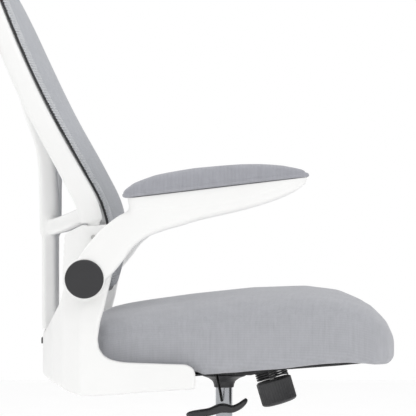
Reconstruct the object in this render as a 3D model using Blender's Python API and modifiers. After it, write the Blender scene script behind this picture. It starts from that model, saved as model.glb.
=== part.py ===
"""Mesh-back chair with flip-up arms: metres, +Z up, +X to the front, +Y to the sitter's left."""
import math

import bmesh
import bpy
from mathutils import Matrix, Vector

GAP = 0.0003  # between pieces that touch
PLAY = 0.0006  # radial play round a pin or a bolt

# Base and casters
LEG_COUNT = 5
LEG_REACH = 0.29  # column axis to caster stem
HUB_RADIUS = 0.043
HUB_BOTTOM = 0.046
HUB_TOP = 0.115
WHEEL_RADIUS = 0.0275
WHEEL_SIDES = 20
WHEEL_INNER = 0.0062
WHEEL_OUTER = 0.0245
WHEEL_AXLE_RADIUS = 0.004
CASTER_TRAIL = 0.022
FENDER_GAP = 0.003
FENDER_WALL = 0.003
LEG_BOTTOM = 2 * WHEEL_RADIUS + FENDER_GAP + FENDER_WALL + 0.001
LEG_TIP_TOP = LEG_BOTTOM + 0.030
STEM_RADIUS = 0.0055
STEM_LENGTH = 0.026

# Gas lift
COLUMN_X = 0.05
COLUMN_RADIUS = 0.025
COLUMN_WALL = 0.0035
COLUMN_BOTTOM = 0.045
COLUMN_TOP = 0.285
COLUMN_FLOOR = 0.005
BUSH_LENGTH = 0.085
TUBE_RADIUS = 0.014
TUBE_BORE = 0.011
TUBE_BOTTOM = 0.12
TUBE_TOP = 0.381
VALVE_RADIUS = 0.004
VALVE_RISE = 0.0063  # valve button above the tube's end
VALVE_DEPTH = 0.004
VALVE_TRAVEL = 0.0045
ROD_RADIUS = 0.005
ROD_TOP = 0.195
BEARING_HEIGHT = 0.005
CUP_TOP = 0.3662
CUP_BOTTOM = 0.344
CUP_FLANGE = 0.037

# Tilt mechanism
TILT_X = 0.082
TILT_Z = 0.388
PIN_RADIUS = 0.005
PIN_REACH = 0.0505
HOUSING_HALF = 0.042
CHEEK_WALL = 0.003
TILT_PLATE_HALF = 0.07
KNOB_SLANT = math.radians(16.5)
KNOB_X = 0.1309  # middle of the knob's top face
KNOB_Z = 0.3583
KNOB_RADIUS = 0.0295
KNOB_LENGTH = 0.0415
SPRING_LENGTH = 0.0345
SPRING_RADIUS = 0.0270
SPRING_WIRE = 0.0032
SPRING_TURNS = 8
SPRING_CUP = 0.0285
BOLT_RADIUS = 0.005
BOLT_HEAD_RADIUS = 0.008
BOLT_HEAD_HEIGHT = 0.0025
LEVER_RADIUS = 0.0026

# Seat, in a frame that leans up to the front about (COLUMN_X, SEAT_Z)
SEAT_Z = 0.40
SEAT_SLOPE = math.radians(4.2)
SEAT_HALF = 0.25
SEAT_REAR = -0.17
SEAT_FRONT = 0.32
BOARD_LENGTH = 0.426
BOARD_WIDTH = 0.436
BOARD_CORNER = 0.05
BOARD_CENTRE_X = 0.065
BOARD_THICK = 0.012
PAN_WALL = 0.003
PAN_BOTTOM = 0.3785
TILT_PLATE_BOTTOM = 0.405
TILT_PLATE_THICK = 0.003
RECESS_HALF = 0.13
RECESS_REAR = -0.05
RECESS_FRONT = 0.185
PAN_RECESS = TILT_PLATE_BOTTOM + TILT_PLATE_THICK + GAP
BOARD_BOTTOM = PAN_RECESS + PAN_WALL + GAP
BOARD_TOP = BOARD_BOTTOM + BOARD_THICK
FLANGE_TOP = PAN_BOTTOM - GAP
PLATE_BOLTS = [(x, side * 0.057) for x in (0.016, 0.156) for side in (-1, 1)]
FOOT_BOLTS = [(x, side * 0.200) for x in (-0.096, -0.030) for side in (-1, 1)]
PLATE_BOLT_RADIUS = 0.003
FOOT_BOLT_RADIUS = 0.004

# Lower frame
FOOT_FRONT = 0.004
FRAME_HALF = 0.27  # middle of the side plates
FRAME_WALL = 0.028
BEND_START = -0.175
BEND_RUN = 0.186  # run of the flat plate for each radian of the rear bow
BEND_DEPTH = 0.058  # how far the rear bow runs behind the bend's start
LEAN_BOTTOM = 0.43
SOCKET_TOP = 0.614
SOCKET_LEAN = 0.06
ARM_X = -0.168
ARM_Z = 0.530
ARM_HUB_RADIUS = 0.033
ARM_HUB_INNER = 0.2705
ARM_HUB_WALL = 0.030
ARM_CAP_RADIUS = 0.030
FLANGE_THICK = 0.010
SPINE_SCREW_Y = 0.012
SPINE_SCREW_Z = 0.422
SPINE_SCREW_RADIUS = 0.0025

# Arm pads
PAD_Y = 0.280
PAD_SLOPE = 0.1172
PAD_BOARD_LENGTH = 0.250
PAD_BOARD_WIDTH = 0.052
PAD_BOARD_CORNER = 0.018
PAD_BOARD_THICK = 0.0025

# Back
BACK_BOTTOM = 0.512
BACK_TOP = 1.036
BACK_HALF = 0.212
RAIL_WIDTH = 0.022
RAIL_SETBACK = 0.006
BACK_BOW = 0.012
MESH_BULGE = 0.010
MESH_WALL = 0.003
SPINE_HALF = 0.036
SPINE_FRONT = -0.223
SPINE_REAR = -0.249
SPINE_BOTTOM = 0.4403
TONGUE = (0.018, 0.012, 0.036)  # of each rail, in its socket
TONGUE_X = -0.1565
TONGUE_Y = 0.2115
SCREW_Z = 0.594
SOCKET_SCREW_RADIUS = 0.002
# Half widths, by share of the back's height
RAIL_WIDTHS = [(0.0, 0.211), (0.244, 0.213), (0.359, 0.2125), (0.55, 0.214), (0.74, 0.209), (1.0, 0.185)]
CARRIER_WIDTHS = [
    (0.0, 0.1652), (0.092, 0.172), (0.206, 0.188), (0.359, 0.2105), (0.55, 0.214), (0.74, 0.209),
    (1.0, 0.185),
]


def clear_scene():
    for obj in list(bpy.data.objects):
        bpy.data.objects.remove(obj, do_unlink=True)


def new_collection(name):
    made = bpy.data.collections.new(name)
    bpy.context.scene.collection.children.link(made)
    return made


def finish_of(name, colour, roughness, metallic=0.0):
    made = bpy.data.materials.new(name)
    made.use_nodes = True
    shader = made.node_tree.nodes["Principled BSDF"]
    shader.inputs["Base Color"].default_value = (*colour, 1.0)
    shader.inputs["Roughness"].default_value = roughness
    shader.inputs["Metallic"].default_value = metallic
    return made


def curve_value(knots, at):
    """Smooth value at a place, through knots of (place, value)."""
    at = min(max(at, knots[0][0]), knots[-1][0])
    last = len(knots) - 1
    i = max(k for k in range(last) if knots[k][0] <= at)

    def slope(k):
        a, b = knots[max(k - 1, 0)], knots[min(k + 1, last)]
        return (b[1] - a[1]) / (b[0] - a[0])

    span = knots[i + 1][0] - knots[i][0]
    t = (at - knots[i][0]) / span
    start = (2 * t**3 - 3 * t**2 + 1) * knots[i][1] + (t**3 - 2 * t**2 + t) * span * slope(i)
    end = (3 * t**2 - 2 * t**3) * knots[i + 1][1] + (t**3 - t**2) * span * slope(i + 1)
    return start + end


def smooth_path(points, count):
    """Evenly spread points on a smooth curve through the given ones."""
    points = [Vector(p) for p in points]
    places = [0.0]
    for a, b in zip(points, points[1:]):
        places.append(places[-1] + (b - a).length)
    axes = [list(zip(places, [p[axis] for p in points])) for axis in range(3)]
    steps = [places[-1] * i / (count - 1) for i in range(count)]
    return [Vector([curve_value(knots, step) for knots in axes]) for step in steps]


def rounded_rectangle(width, height, corner, steps):
    points = []
    for quarter in range(4):
        x = (width / 2 - corner) * (1 if quarter in (0, 3) else -1)
        y = (height / 2 - corner) * (1 if quarter in (0, 1) else -1)
        for step in range(steps + 1):
            angle = (quarter + step / steps) * math.pi / 2
            points.append((x + corner * math.cos(angle), y + corner * math.sin(angle)))
    return points


def seat_frame():
    centre = Matrix.Translation((COLUMN_X, 0, SEAT_Z))
    return centre @ Matrix.Rotation(-SEAT_SLOPE, 4, "Y") @ centre.inverted()


def knob_frame():
    """Origin at the middle of the knob's top face, +Z up the bolt."""
    return Matrix.Translation((KNOB_X, 0, KNOB_Z)) @ Matrix.Rotation(-KNOB_SLANT, 4, "Y")


def block(size, centre):
    bm = bmesh.new()
    bmesh.ops.create_cube(bm, size=1, matrix=Matrix.Translation(centre) @ Matrix.Diagonal((*size, 1)))
    return bm


def cylinder(start, end, radius, sides=24, end_radius=None):
    start, end = Vector(start), Vector(end)
    along = end - start
    turn = along.to_track_quat("Z", "Y").to_matrix().to_4x4()
    bm = bmesh.new()
    bmesh.ops.create_cone(
        bm,
        cap_ends=True,
        segments=sides,
        radius1=radius,
        radius2=radius if end_radius is None else end_radius,
        depth=along.length,
        matrix=Matrix.Translation((start + end) / 2) @ turn,
    )
    return bm


def outline_body(points, low, high):
    """A flat outline in XY as a closed body from low to high in Z."""
    curve = bpy.data.curves.new("outline", "CURVE")
    curve.dimensions = "2D"
    curve.fill_mode = "BOTH"
    curve.extrude = (high - low) / 2
    spline = curve.splines.new("POLY")
    spline.points.add(len(points) - 1)
    for point, (x, y) in zip(spline.points, points):
        point.co = (x, y, 0, 1)
    spline.use_cyclic_u = True
    obj = bpy.data.objects.new("outline", curve)
    bpy.context.scene.collection.objects.link(obj)
    mesh = bpy.data.meshes.new_from_object(obj.evaluated_get(bpy.context.evaluated_depsgraph_get()))
    bm = bmesh.new()
    bm.from_mesh(mesh)
    bmesh.ops.remove_doubles(bm, verts=bm.verts, dist=1e-5)
    bmesh.ops.translate(bm, verts=bm.verts, vec=(0, 0, (low + high) / 2))
    bmesh.ops.recalc_face_normals(bm, faces=bm.faces)
    bpy.data.objects.remove(obj, do_unlink=True)
    bpy.data.curves.remove(curve)
    bpy.data.meshes.remove(mesh)
    return bm


def side_body(points, near, far):
    """An outline in XZ as a closed body between two Y places."""
    bm = outline_body(points, -far, -near)
    bmesh.ops.transform(bm, matrix=Matrix.Rotation(math.pi / 2, 4, "X"), verts=bm.verts)
    return bm


def loft(rings, closed=False):
    """A body through rings of equally many points, capped unless it closes on itself."""
    bm = bmesh.new()
    loops = [[bm.verts.new(point) for point in ring] for ring in rings]
    pairs = list(zip(loops, loops[1:]))
    if closed:
        pairs.append((loops[-1], loops[0]))
    else:
        bm.faces.new(loops[0])
        bm.faces.new(loops[-1])
    for a, b in pairs:
        for i in range(len(a)):
            j = (i + 1) % len(a)
            bm.faces.new((a[i], a[j], b[j], b[i]))
    bmesh.ops.recalc_face_normals(bm, faces=bm.faces)
    return bm


def sweep(path, depth_axis, width, depth, corner, closed=False):
    """A rounded bar along a path. width and depth are functions of the point."""
    rings = []
    for i, point in enumerate(path):
        before = path[i - 1] if closed or i else point
        after = path[(i + 1) % len(path)] if closed or i + 1 < len(path) else point
        along = (after - before).normalized()
        out = Vector(depth_axis(point))
        out = (out - out.project(along)).normalized()
        across = along.cross(out)
        ring = rounded_rectangle(width(point), depth(point), corner, 1)
        rings.append([point + across * a + out * b for a, b in ring])
    return loft(rings, closed)


def add(name, bm, finish, frame=None):
    """Makes a bmesh an object of the chair, first moved by frame when one is given."""
    if frame is not None:
        bmesh.ops.transform(bm, matrix=frame, verts=bm.verts)
    mesh = bpy.data.meshes.new(name)
    bm.to_mesh(mesh)
    bm.free()
    mesh.materials.append(finishes[finish])
    mesh.shade_smooth()
    mesh.set_sharp_from_angle(angle=math.radians(35))
    obj = bpy.data.objects.new(name, mesh)
    chair.objects.link(obj)
    return obj


def combine(obj, operation, bm, frame=None):
    """Cuts a bmesh from an object, or joins it on, with a Boolean modifier."""
    if frame is not None:
        bmesh.ops.transform(bm, matrix=frame, verts=bm.verts)
    mesh = bpy.data.meshes.new(obj.name + "_tool")
    bm.to_mesh(mesh)
    bm.free()
    tool = bpy.data.objects.new(mesh.name, mesh)
    tool.hide_render = True
    tool.display_type = "WIRE"
    cutters.objects.link(tool)
    modifier = obj.modifiers.new(operation.lower(), "BOOLEAN")
    modifier.operation = operation
    modifier.solver = "EXACT"
    modifier.object = tool


def cut(obj, bm, frame=None):
    combine(obj, "DIFFERENCE", bm, frame)


def join(obj, bm, frame=None):
    combine(obj, "UNION", bm, frame)


def soften(obj, width, segments=2, angle=40):
    modifier = obj.modifiers.new("soften", "BEVEL")
    modifier.width = width
    modifier.segments = segments
    modifier.limit_method = "ANGLE"
    modifier.angle_limit = math.radians(angle)


def turned(name, profile, finish, frame, steps=24):
    """A turned piece: the profile's (radius, height) points run down its outer side."""
    mesh = bpy.data.meshes.new(name)
    edges = [(i, i + 1) for i in range(len(profile) - 1)]
    mesh.from_pydata([(r, 0, z) for r, z in profile], edges, [])
    mesh.materials.append(finishes[finish])
    obj = bpy.data.objects.new(name, mesh)
    chair.objects.link(obj)
    obj.matrix_world = frame
    modifier = obj.modifiers.new("turn", "SCREW")
    modifier.steps = steps
    modifier.render_steps = steps
    modifier.use_merge_vertices = True
    modifier.merge_threshold = 0.00005
    modifier.use_smooth_shade = True
    return obj


def ring_profile(inner, outer, low, high):
    return [(inner, high), (outer, high), (outer, low), (inner, low), (inner, high)]


def joint_empty(name, place, parent=None):
    empty = bpy.data.objects.new(name, None)
    empty.empty_display_size = 0.02
    empty.matrix_world = Matrix.Translation(place)
    chair.objects.link(empty)
    if parent is not None:
        hang(parent, empty)
    return empty


def hang(parent, *pieces):
    """Parents pieces to an empty and keeps them where they are."""
    bpy.context.view_layer.update()
    for piece in pieces:
        piece.parent = parent
        piece.matrix_parent_inverse = parent.matrix_world.inverted()


def leg_directions():
    return [2 * math.pi * i / LEG_COUNT for i in range(LEG_COUNT)]


def make_base():
    column = Matrix.Translation((COLUMN_X, 0, 0))
    bore = COLUMN_RADIUS + GAP
    spider = turned("base_spider", ring_profile(bore, HUB_RADIUS, HUB_BOTTOM, HUB_TOP), "white", column, 30)
    stations = [
        (HUB_RADIUS - 0.010, 0.056, 0.050, 0.111),
        (0.10, 0.050, 0.062, 0.107),
        (0.20, 0.042, 0.065, 0.099),
        (LEG_REACH - 0.015, 0.036, LEG_BOTTOM + 0.002, LEG_TIP_TOP + 0.001),
        (LEG_REACH + 0.012, 0.030, LEG_BOTTOM + 0.003, LEG_TIP_TOP - 0.002),
        (LEG_REACH + 0.020, 0.018, LEG_BOTTOM + 0.006, LEG_TIP_TOP - 0.007),
    ]
    for angle in leg_directions():
        turn = column @ Matrix.Rotation(angle, 4, "Z")
        rings = []
        for reach, wide, low, high in stations:
            ring = rounded_rectangle(wide, high - low, min(wide, high - low) * 0.3, 1)
            rings.append([Vector((reach, y, (low + high) / 2 + z)) for y, z in ring])
        join(spider, loft(rings), turn)
    for angle in leg_directions():
        turn = column @ Matrix.Rotation(angle, 4, "Z")
        top = LEG_BOTTOM + STEM_LENGTH + GAP
        cut(spider, cylinder((LEG_REACH, 0, 0), (LEG_REACH, 0, top), STEM_RADIUS + PLAY, 12), turn)
    inner = COLUMN_RADIUS - COLUMN_WALL
    column_profile = [
        (inner, COLUMN_TOP),
        (COLUMN_RADIUS, COLUMN_TOP),
        (COLUMN_RADIUS, COLUMN_BOTTOM),
        (ROD_RADIUS + PLAY, COLUMN_BOTTOM),
        (ROD_RADIUS + PLAY, COLUMN_BOTTOM + COLUMN_FLOOR),
        (inner, COLUMN_BOTTOM + COLUMN_FLOOR),
        (inner, COLUMN_TOP),
    ]
    turned("lift_column", column_profile, "black", column, 28)
    bush_profile = ring_profile(TUBE_RADIUS + GAP, inner - GAP, COLUMN_TOP - BUSH_LENGTH, COLUMN_TOP + 0.002)
    turned("guide_bush", bush_profile, "black", column, 28)
    low = COLUMN_BOTTOM + COLUMN_FLOOR + GAP
    high = low + BEARING_HEIGHT
    turned("thrust_bearing", ring_profile(ROD_RADIUS + PLAY, 0.016, low, high), "steel", column, 20)
    flange = high + GAP
    rod_profile = [
        (0, ROD_TOP),
        (TUBE_BORE - PLAY, ROD_TOP),
        (TUBE_BORE - PLAY, ROD_TOP - 0.010),
        (ROD_RADIUS, ROD_TOP - 0.010),
        (ROD_RADIUS, flange + 0.003),
        (0.010, flange + 0.003),
        (0.010, flange),
        (ROD_RADIUS, flange),
        (ROD_RADIUS, COLUMN_BOTTOM - 0.006),
        (0, COLUMN_BOTTOM - 0.006),
    ]
    rod = turned("lift_rod", rod_profile, "steel", column, 20)
    clip_top = COLUMN_BOTTOM - GAP
    clip_profile = ring_profile(ROD_RADIUS + GAP, 0.0095, clip_top - 0.003, clip_top)
    clip = turned("column_clip", clip_profile, "steel", column, 20)
    swivel = joint_empty("swivel_axis", (COLUMN_X, 0, 0))
    hang(swivel, rod, clip)
    return swivel


def fender_outline(low, high, start, end, steps):
    angles = [math.radians(start + (end - start) * i / steps) for i in range(steps + 1)]
    outer = [(high * math.cos(a), high * math.sin(a)) for a in angles]
    return outer + [(low * math.cos(a), low * math.sin(a)) for a in reversed(angles)]


def make_casters():
    axle_z = WHEEL_RADIUS * math.cos(math.pi / WHEEL_SIDES)
    axle = Matrix.Translation((-CASTER_TRAIL, 0, axle_z))
    fender = WHEEL_RADIUS + FENDER_GAP
    plate_half = WHEEL_INNER - 0.0009
    stem_foot = LEG_BOTTOM - GAP
    for index, angle in enumerate(leg_directions(), 1):
        place = Vector((COLUMN_X, 0, 0)) + Matrix.Rotation(angle, 3, "Z") @ Vector((LEG_REACH, 0, 0))
        swivel = joint_empty(f"caster_axis_{index}", place)
        here = Matrix.Translation(place)
        plate = cylinder((0, -plate_half, 0), (0, plate_half, 0), WHEEL_RADIUS - 0.0075, 14)
        fork = add(f"caster_fork_{index}", plate, "black", here @ axle)
        outline = fender_outline(fender, fender + FENDER_WALL, 12, 150, 8)
        cover = side_body(outline, -WHEEL_OUTER - 0.001, WHEEL_OUTER + 0.001)
        join(fork, cover, here @ axle)
        join(fork, block((0.026, 2 * plate_half, 0.030), (-CASTER_TRAIL / 2, 0, stem_foot - 0.0172)), here)
        join(fork, cylinder((0, 0, stem_foot - 0.0072), (0, 0, stem_foot), 0.011, 12), here)
        stem = cylinder((0, 0, stem_foot - 0.0067), (0, 0, LEG_BOTTOM + STEM_LENGTH), STEM_RADIUS, 12)
        join(fork, stem, here)
        bore = cylinder((0, -0.05, 0), (0, 0.05, 0), WHEEL_AXLE_RADIUS + PLAY, 12)
        cut(fork, bore, here @ axle)
        half = [
            (0, WHEEL_OUTER - 0.002),
            (WHEEL_RADIUS - 0.004, WHEEL_OUTER),
            (WHEEL_RADIUS, WHEEL_OUTER - 0.004),
            (WHEEL_RADIUS, WHEEL_INNER + 0.001),
            (WHEEL_RADIUS - 0.002, WHEEL_INNER),
            (WHEEL_AXLE_RADIUS, WHEEL_INNER),
        ]
        profile = half + [(r, -z) for r, z in reversed(half)]
        facet_down = Matrix.Rotation(math.pi / WHEEL_SIDES - math.pi / 2, 4, "Z")
        lie = Matrix.Rotation(math.pi / 2, 4, "X") @ facet_down
        wheels = turned(f"caster_wheels_{index}", profile, "black", here @ axle @ lie, WHEEL_SIDES)
        roll = joint_empty(f"wheel_axis_{index}", place + Vector((-CASTER_TRAIL, 0, axle_z)), swivel)
        hang(swivel, fork)
        hang(roll, wheels)


def make_lift(swivel):
    column = Matrix.Translation((COLUMN_X, 0, 0))
    pocket = TUBE_TOP - VALVE_DEPTH - VALVE_TRAVEL - GAP
    tube_profile = [
        (0, pocket),
        (VALVE_RADIUS + PLAY, pocket),
        (VALVE_RADIUS + PLAY, TUBE_TOP),
        (TUBE_RADIUS - 0.001, TUBE_TOP),
        (TUBE_RADIUS, TUBE_TOP - 0.002),
        (TUBE_RADIUS, TUBE_BOTTOM),
        (TUBE_BORE, TUBE_BOTTOM),
        (TUBE_BORE, CUP_BOTTOM + 0.006),
        (0, CUP_BOTTOM + 0.006),
    ]
    tube = turned("lift_tube", tube_profile, "chrome", column, 28)
    button_top = TUBE_TOP + VALVE_RISE
    button_profile = [
        (0, button_top),
        (VALVE_RADIUS, button_top),
        (VALVE_RADIUS, TUBE_TOP - VALVE_DEPTH),
        (0, TUBE_TOP - VALVE_DEPTH),
    ]
    button = turned("valve_button", button_profile, "steel", column, 12)
    collar = TUBE_RADIUS + GAP
    cup_profile = [
        (collar, CUP_TOP - GAP),
        (CUP_FLANGE, CUP_TOP - GAP),
        (CUP_FLANGE - 0.001, CUP_TOP - 0.003),
        (0.026, CUP_TOP - 0.0065),
        (0.019, CUP_TOP - 0.0115),
        (collar + 0.0025, CUP_TOP - 0.017),
        (collar + 0.002, CUP_BOTTOM),
        (collar, CUP_BOTTOM),
        (collar, CUP_TOP - GAP),
    ]
    cup = turned("taper_cup", cup_profile, "black", column, 28)
    lift = joint_empty("lift_axis", (COLUMN_X, 0, COLUMN_TOP), swivel)
    outline = [
        (0.010, CUP_TOP), (0.095, CUP_TOP), (0.157, 0.3835), (0.157, 0.3965), (0.094, 0.3965),
        (0.090, 0.3980), (0.072, 0.3980), (0.050, 0.3921), (0.012, 0.3810), (0.010, 0.3800),
    ]
    housing = add("mechanism_housing", side_body(outline, -HOUSING_HALF, HOUSING_HALF), "black")
    soften(housing, 0.0015, 1)
    cut(housing, block((0.057, 2 * HOUSING_HALF - 0.008, 0.05), (0.0435, 0, CUP_TOP + 0.0295)))
    cut(housing, cylinder((COLUMN_X, 0, 0.3), (COLUMN_X, 0, 0.38), TUBE_RADIUS + GAP, 28))
    knob = knob_frame()
    spring_top = SPRING_LENGTH + GAP
    cut(housing, cylinder((0, 0, 0), (0, 0, spring_top), SPRING_CUP, 28), knob)
    cut(housing, cylinder((0, 0, 0), (0, 0, 0.06), BOLT_RADIUS + 0.004, 20), knob)
    pin_bore = cylinder((TILT_X, -0.1, TILT_Z), (TILT_X, 0.1, TILT_Z), PIN_RADIUS + PLAY, 16)
    cut(housing, pin_bore)
    lever_start = Vector((COLUMN_X, 0.002, button_top + LEVER_RADIUS + 0.001))
    lever_wall = Vector((0.0405, -0.040, 0.3835))
    along = (lever_start - lever_wall).normalized()
    cut(housing, cylinder(lever_wall - along * 0.012, lever_wall + along * 0.010, 0.0045, 12))
    pin_body = cylinder((TILT_X, -PIN_REACH, TILT_Z), (TILT_X, PIN_REACH, TILT_Z), PIN_RADIUS, 16)
    pin = add("tilt_pin", pin_body, "steel")
    hang(lift, tube, cup, housing, pin)
    press = joint_empty("valve_axis", (COLUMN_X, 0, TUBE_TOP), lift)
    hang(press, button)
    make_spring(lift)
    make_lever(lift, lever_start, lever_wall)
    return lift


def make_spring(lift):
    radius = SPRING_RADIUS - SPRING_WIRE / 2
    rise = SPRING_LENGTH - SPRING_WIRE - 2 * GAP
    count = SPRING_TURNS * 8
    knob = knob_frame()
    curve = bpy.data.curves.new("tension_spring", "CURVE")
    curve.dimensions = "3D"
    curve.bevel_depth = SPRING_WIRE / 2
    curve.bevel_resolution = 1
    curve.use_fill_caps = True
    spline = curve.splines.new("POLY")
    spline.points.add(count)
    for i, point in enumerate(spline.points):
        turn = 2 * math.pi * SPRING_TURNS * i / count
        height = SPRING_WIRE / 2 + GAP + rise * i / count
        point.co = (*(knob @ Vector((radius * math.cos(turn), radius * math.sin(turn), height))), 1)
    curve.materials.append(finishes["black"])
    spring = bpy.data.objects.new("tension_spring", curve)
    chair.objects.link(spring)
    hang(lift, spring)


def make_lever(lift, start, wall):
    outside = [
        wall, (0.0385, -0.060, 0.3775), (0.0375, -0.078, 0.3700), (0.0420, -0.130, 0.3520),
        (0.0455, -0.192, 0.3350),
    ]
    path = [Vector(start), start.lerp(wall, 0.5)] + smooth_path(outside, 12)
    curve = bpy.data.curves.new("lever_rod", "CURVE")
    curve.dimensions = "3D"
    curve.bevel_depth = LEVER_RADIUS
    curve.bevel_resolution = 2
    curve.use_fill_caps = True
    spline = curve.splines.new("POLY")
    spline.points.add(len(path) - 1)
    for point, place in zip(spline.points, path):
        point.co = (*place, 1)
    curve.materials.append(finishes["black"])
    rod = bpy.data.objects.new("lever_rod", curve)
    chair.objects.link(rod)
    # The paddle: back tip, hub on the rod, front tip, as (x, y, z, width, height)
    stations = [
        (-0.0105, -0.204, 0.3125, 0.010, 0.0035),
        (-0.0060, -0.205, 0.3155, 0.022, 0.0050),
        (0.0060, -0.206, 0.3175, 0.030, 0.0060),
        (0.0260, -0.206, 0.3205, 0.033, 0.0065),
        (0.0420, -0.206, 0.3250, 0.034, 0.0100),
        (0.0500, -0.206, 0.3255, 0.034, 0.0100),
        (0.0620, -0.206, 0.3245, 0.032, 0.0070),
        (0.0740, -0.205, 0.3300, 0.028, 0.0060),
        (0.0820, -0.204, 0.3365, 0.020, 0.0045),
        (0.0845, -0.203, 0.3390, 0.010, 0.0030),
    ]
    rings = []
    for i, (x, y, z, wide, tall) in enumerate(stations):
        ahead = stations[min(i + 1, len(stations) - 1)]
        behind = stations[max(i - 1, 0)]
        slant = math.atan2(ahead[2] - behind[2], ahead[0] - behind[0])
        ring = rounded_rectangle(wide, tall, tall * 0.45, 2)
        rings.append([Vector((x - b * math.sin(slant), y + a, z + b * math.cos(slant))) for a, b in ring])
    paddle = add("lever_paddle", loft(rings), "black")
    end = Vector(outside[-1])
    along = (end - Vector(outside[-2])).normalized()
    join(paddle, cylinder(end - along * 0.008, end + along * 0.012, 0.0062, 16))
    cut(paddle, cylinder(end - along * 0.020, end + along * GAP, LEVER_RADIUS + GAP, 14))
    tip = joint_empty("lever_lift_axis", (wall.x, wall.y, wall.z), lift)
    hang(tip, rod, paddle)


# Heights in the seat's own frame, from the mechanism up


def bolt(name, place, low, head_height, head_radius, radius, top, frame):
    """An upright bolt with its head below, in the seat's frame."""
    x, y = place
    made = add(name, cylinder((x, y, low), (x, y, low + head_height), head_radius, 6), "steel", frame)
    join(made, cylinder((x, y, low + head_height / 2), (x, y, top), radius, 8), frame)
    return made


def cushion_body():
    # x, half width, underside, crown
    stations = [
        (SEAT_REAR, 0.195, 0.395, 0.440),
        (SEAT_REAR + 0.008, 0.222, 0.376, 0.458),
        (SEAT_REAR + 0.030, 0.240, 0.368, 0.469),
        (-0.080, 0.248, 0.372, 0.479),
        (0.0, SEAT_HALF, 0.378, 0.490),
        (0.10, SEAT_HALF, 0.3855, 0.5005),
        (0.19, 0.249, 0.3918, 0.5035),
        (0.245, 0.246, 0.3950, 0.4985),
        (SEAT_FRONT - 0.035, 0.236, 0.3900, 0.4825),
        (SEAT_FRONT - 0.012, 0.218, 0.3905, 0.4610),
        (SEAT_FRONT - 0.001, 0.190, 0.3990, 0.4380),
    ]
    rings = []
    for x, half, low, high in stations:
        middle, tall = (low + high) / 2, (high - low) / 2
        ring = []
        for step in range(20):
            angle = 2 * math.pi * (step + 0.5) / 20
            c, s = math.cos(angle), math.sin(angle)
            y = half * math.copysign(abs(c) ** 0.32, c)
            z = tall * math.copysign(abs(s) ** (0.5 if s > 0 else 0.2), s)
            ring.append(Vector((x, y, middle + z)))
        rings.append(ring)
    return loft(rings)


def pan_body():
    recess_length = RECESS_FRONT - RECESS_REAR
    recess_x = (RECESS_FRONT + RECESS_REAR) / 2
    levels = [
        (BOARD_LENGTH, BOARD_WIDTH, BOARD_CORNER, BOARD_CENTRE_X, PAN_BOTTOM),
        (recess_length, 2 * RECESS_HALF, 0.02, recess_x, PAN_BOTTOM),
        (recess_length - 0.008, 2 * RECESS_HALF - 0.008, 0.016, recess_x, PAN_RECESS),
    ]
    bm = bmesh.new()
    loops = []
    for length, width, corner, x, z in levels:
        ring = rounded_rectangle(length, width, corner, 2)
        loops.append([bm.verts.new((x + a, b, z)) for a, b in ring])
    for a, b in zip(loops, loops[1:]):
        for i in range(len(a)):
            j = (i + 1) % len(a)
            bm.faces.new((a[i], a[j], b[j], b[i]))
    bm.faces.new(loops[-1])
    return bm


def make_seat(tilt):
    seat = seat_frame()
    plate_x = (PLATE_BOLTS[0][0] + PLATE_BOLTS[-1][0]) / 2
    plate_z = TILT_PLATE_BOTTOM + TILT_PLATE_THICK / 2
    plate_body = block((0.170, 2 * TILT_PLATE_HALF, TILT_PLATE_THICK), (plate_x, 0, plate_z))
    plate = add("tilt_plate", plate_body, "black", seat)
    cheek_y = HOUSING_HALF + 0.0025 + CHEEK_WALL / 2
    for side in (-1, 1):
        join(plate, block((0.030, CHEEK_WALL, 0.030), (TILT_X, side * cheek_y, TILT_Z + 0.0045)))
    cut(plate, cylinder((TILT_X, -0.1, TILT_Z), (TILT_X, 0.1, TILT_Z), PIN_RADIUS + GAP, 16))
    pan = add("seat_pan", pan_body(), "black", seat)
    shell = pan.modifiers.new("wall", "SOLIDIFY")
    shell.thickness = PAN_WALL
    shell.offset = 1
    outline = rounded_rectangle(BOARD_LENGTH, BOARD_WIDTH, BOARD_CORNER, 4)
    outline = [(BOARD_CENTRE_X + x, y) for x, y in outline]
    board = add("seat_board", outline_body(outline, BOARD_BOTTOM, BOARD_TOP), "plywood", seat)
    cushion = add("seat_cushion", cushion_body(), "fabric")
    wide = rounded_rectangle(BOARD_LENGTH + 0.002, BOARD_WIDTH + 0.002, BOARD_CORNER, 4)
    wide = [(BOARD_CENTRE_X + x, y) for x, y in wide]
    cut(cushion, outline_body(wide, 0.33, BOARD_TOP + GAP), seat)
    bolts = []
    for x, y in FOOT_BOLTS:
        join(pan, cylinder((x, y, PAN_BOTTOM + 0.001), (x, y, BOARD_BOTTOM - GAP), 0.009, 10), seat)
    for places, radius in ((PLATE_BOLTS, PLATE_BOLT_RADIUS), (FOOT_BOLTS, FOOT_BOLT_RADIUS)):
        for x, y in places:
            for piece in (plate, pan, board):
                if piece is plate and places is FOOT_BOLTS:
                    continue
                cut(piece, cylinder((x, y, 0.36), (x, y, 0.43), radius + PLAY, 8), seat)
    for number, place in enumerate(PLATE_BOLTS, 1):
        low = TILT_PLATE_BOTTOM - GAP - 0.004
        name = f"plate_bolt_{number}"
        bolts.append(bolt(name, place, low, 0.004, 0.0055, PLATE_BOLT_RADIUS, BOARD_TOP, seat))
    for number, place in enumerate(FOOT_BOLTS, 1):
        low = FLANGE_TOP - FLANGE_THICK - GAP - 0.005
        name = f"foot_bolt_{number}"
        bolts.append(bolt(name, place, low, 0.005, 0.0075, FOOT_BOLT_RADIUS, BOARD_TOP, seat))
    hang(tilt, plate, pan, board, cushion, *bolts)


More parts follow.
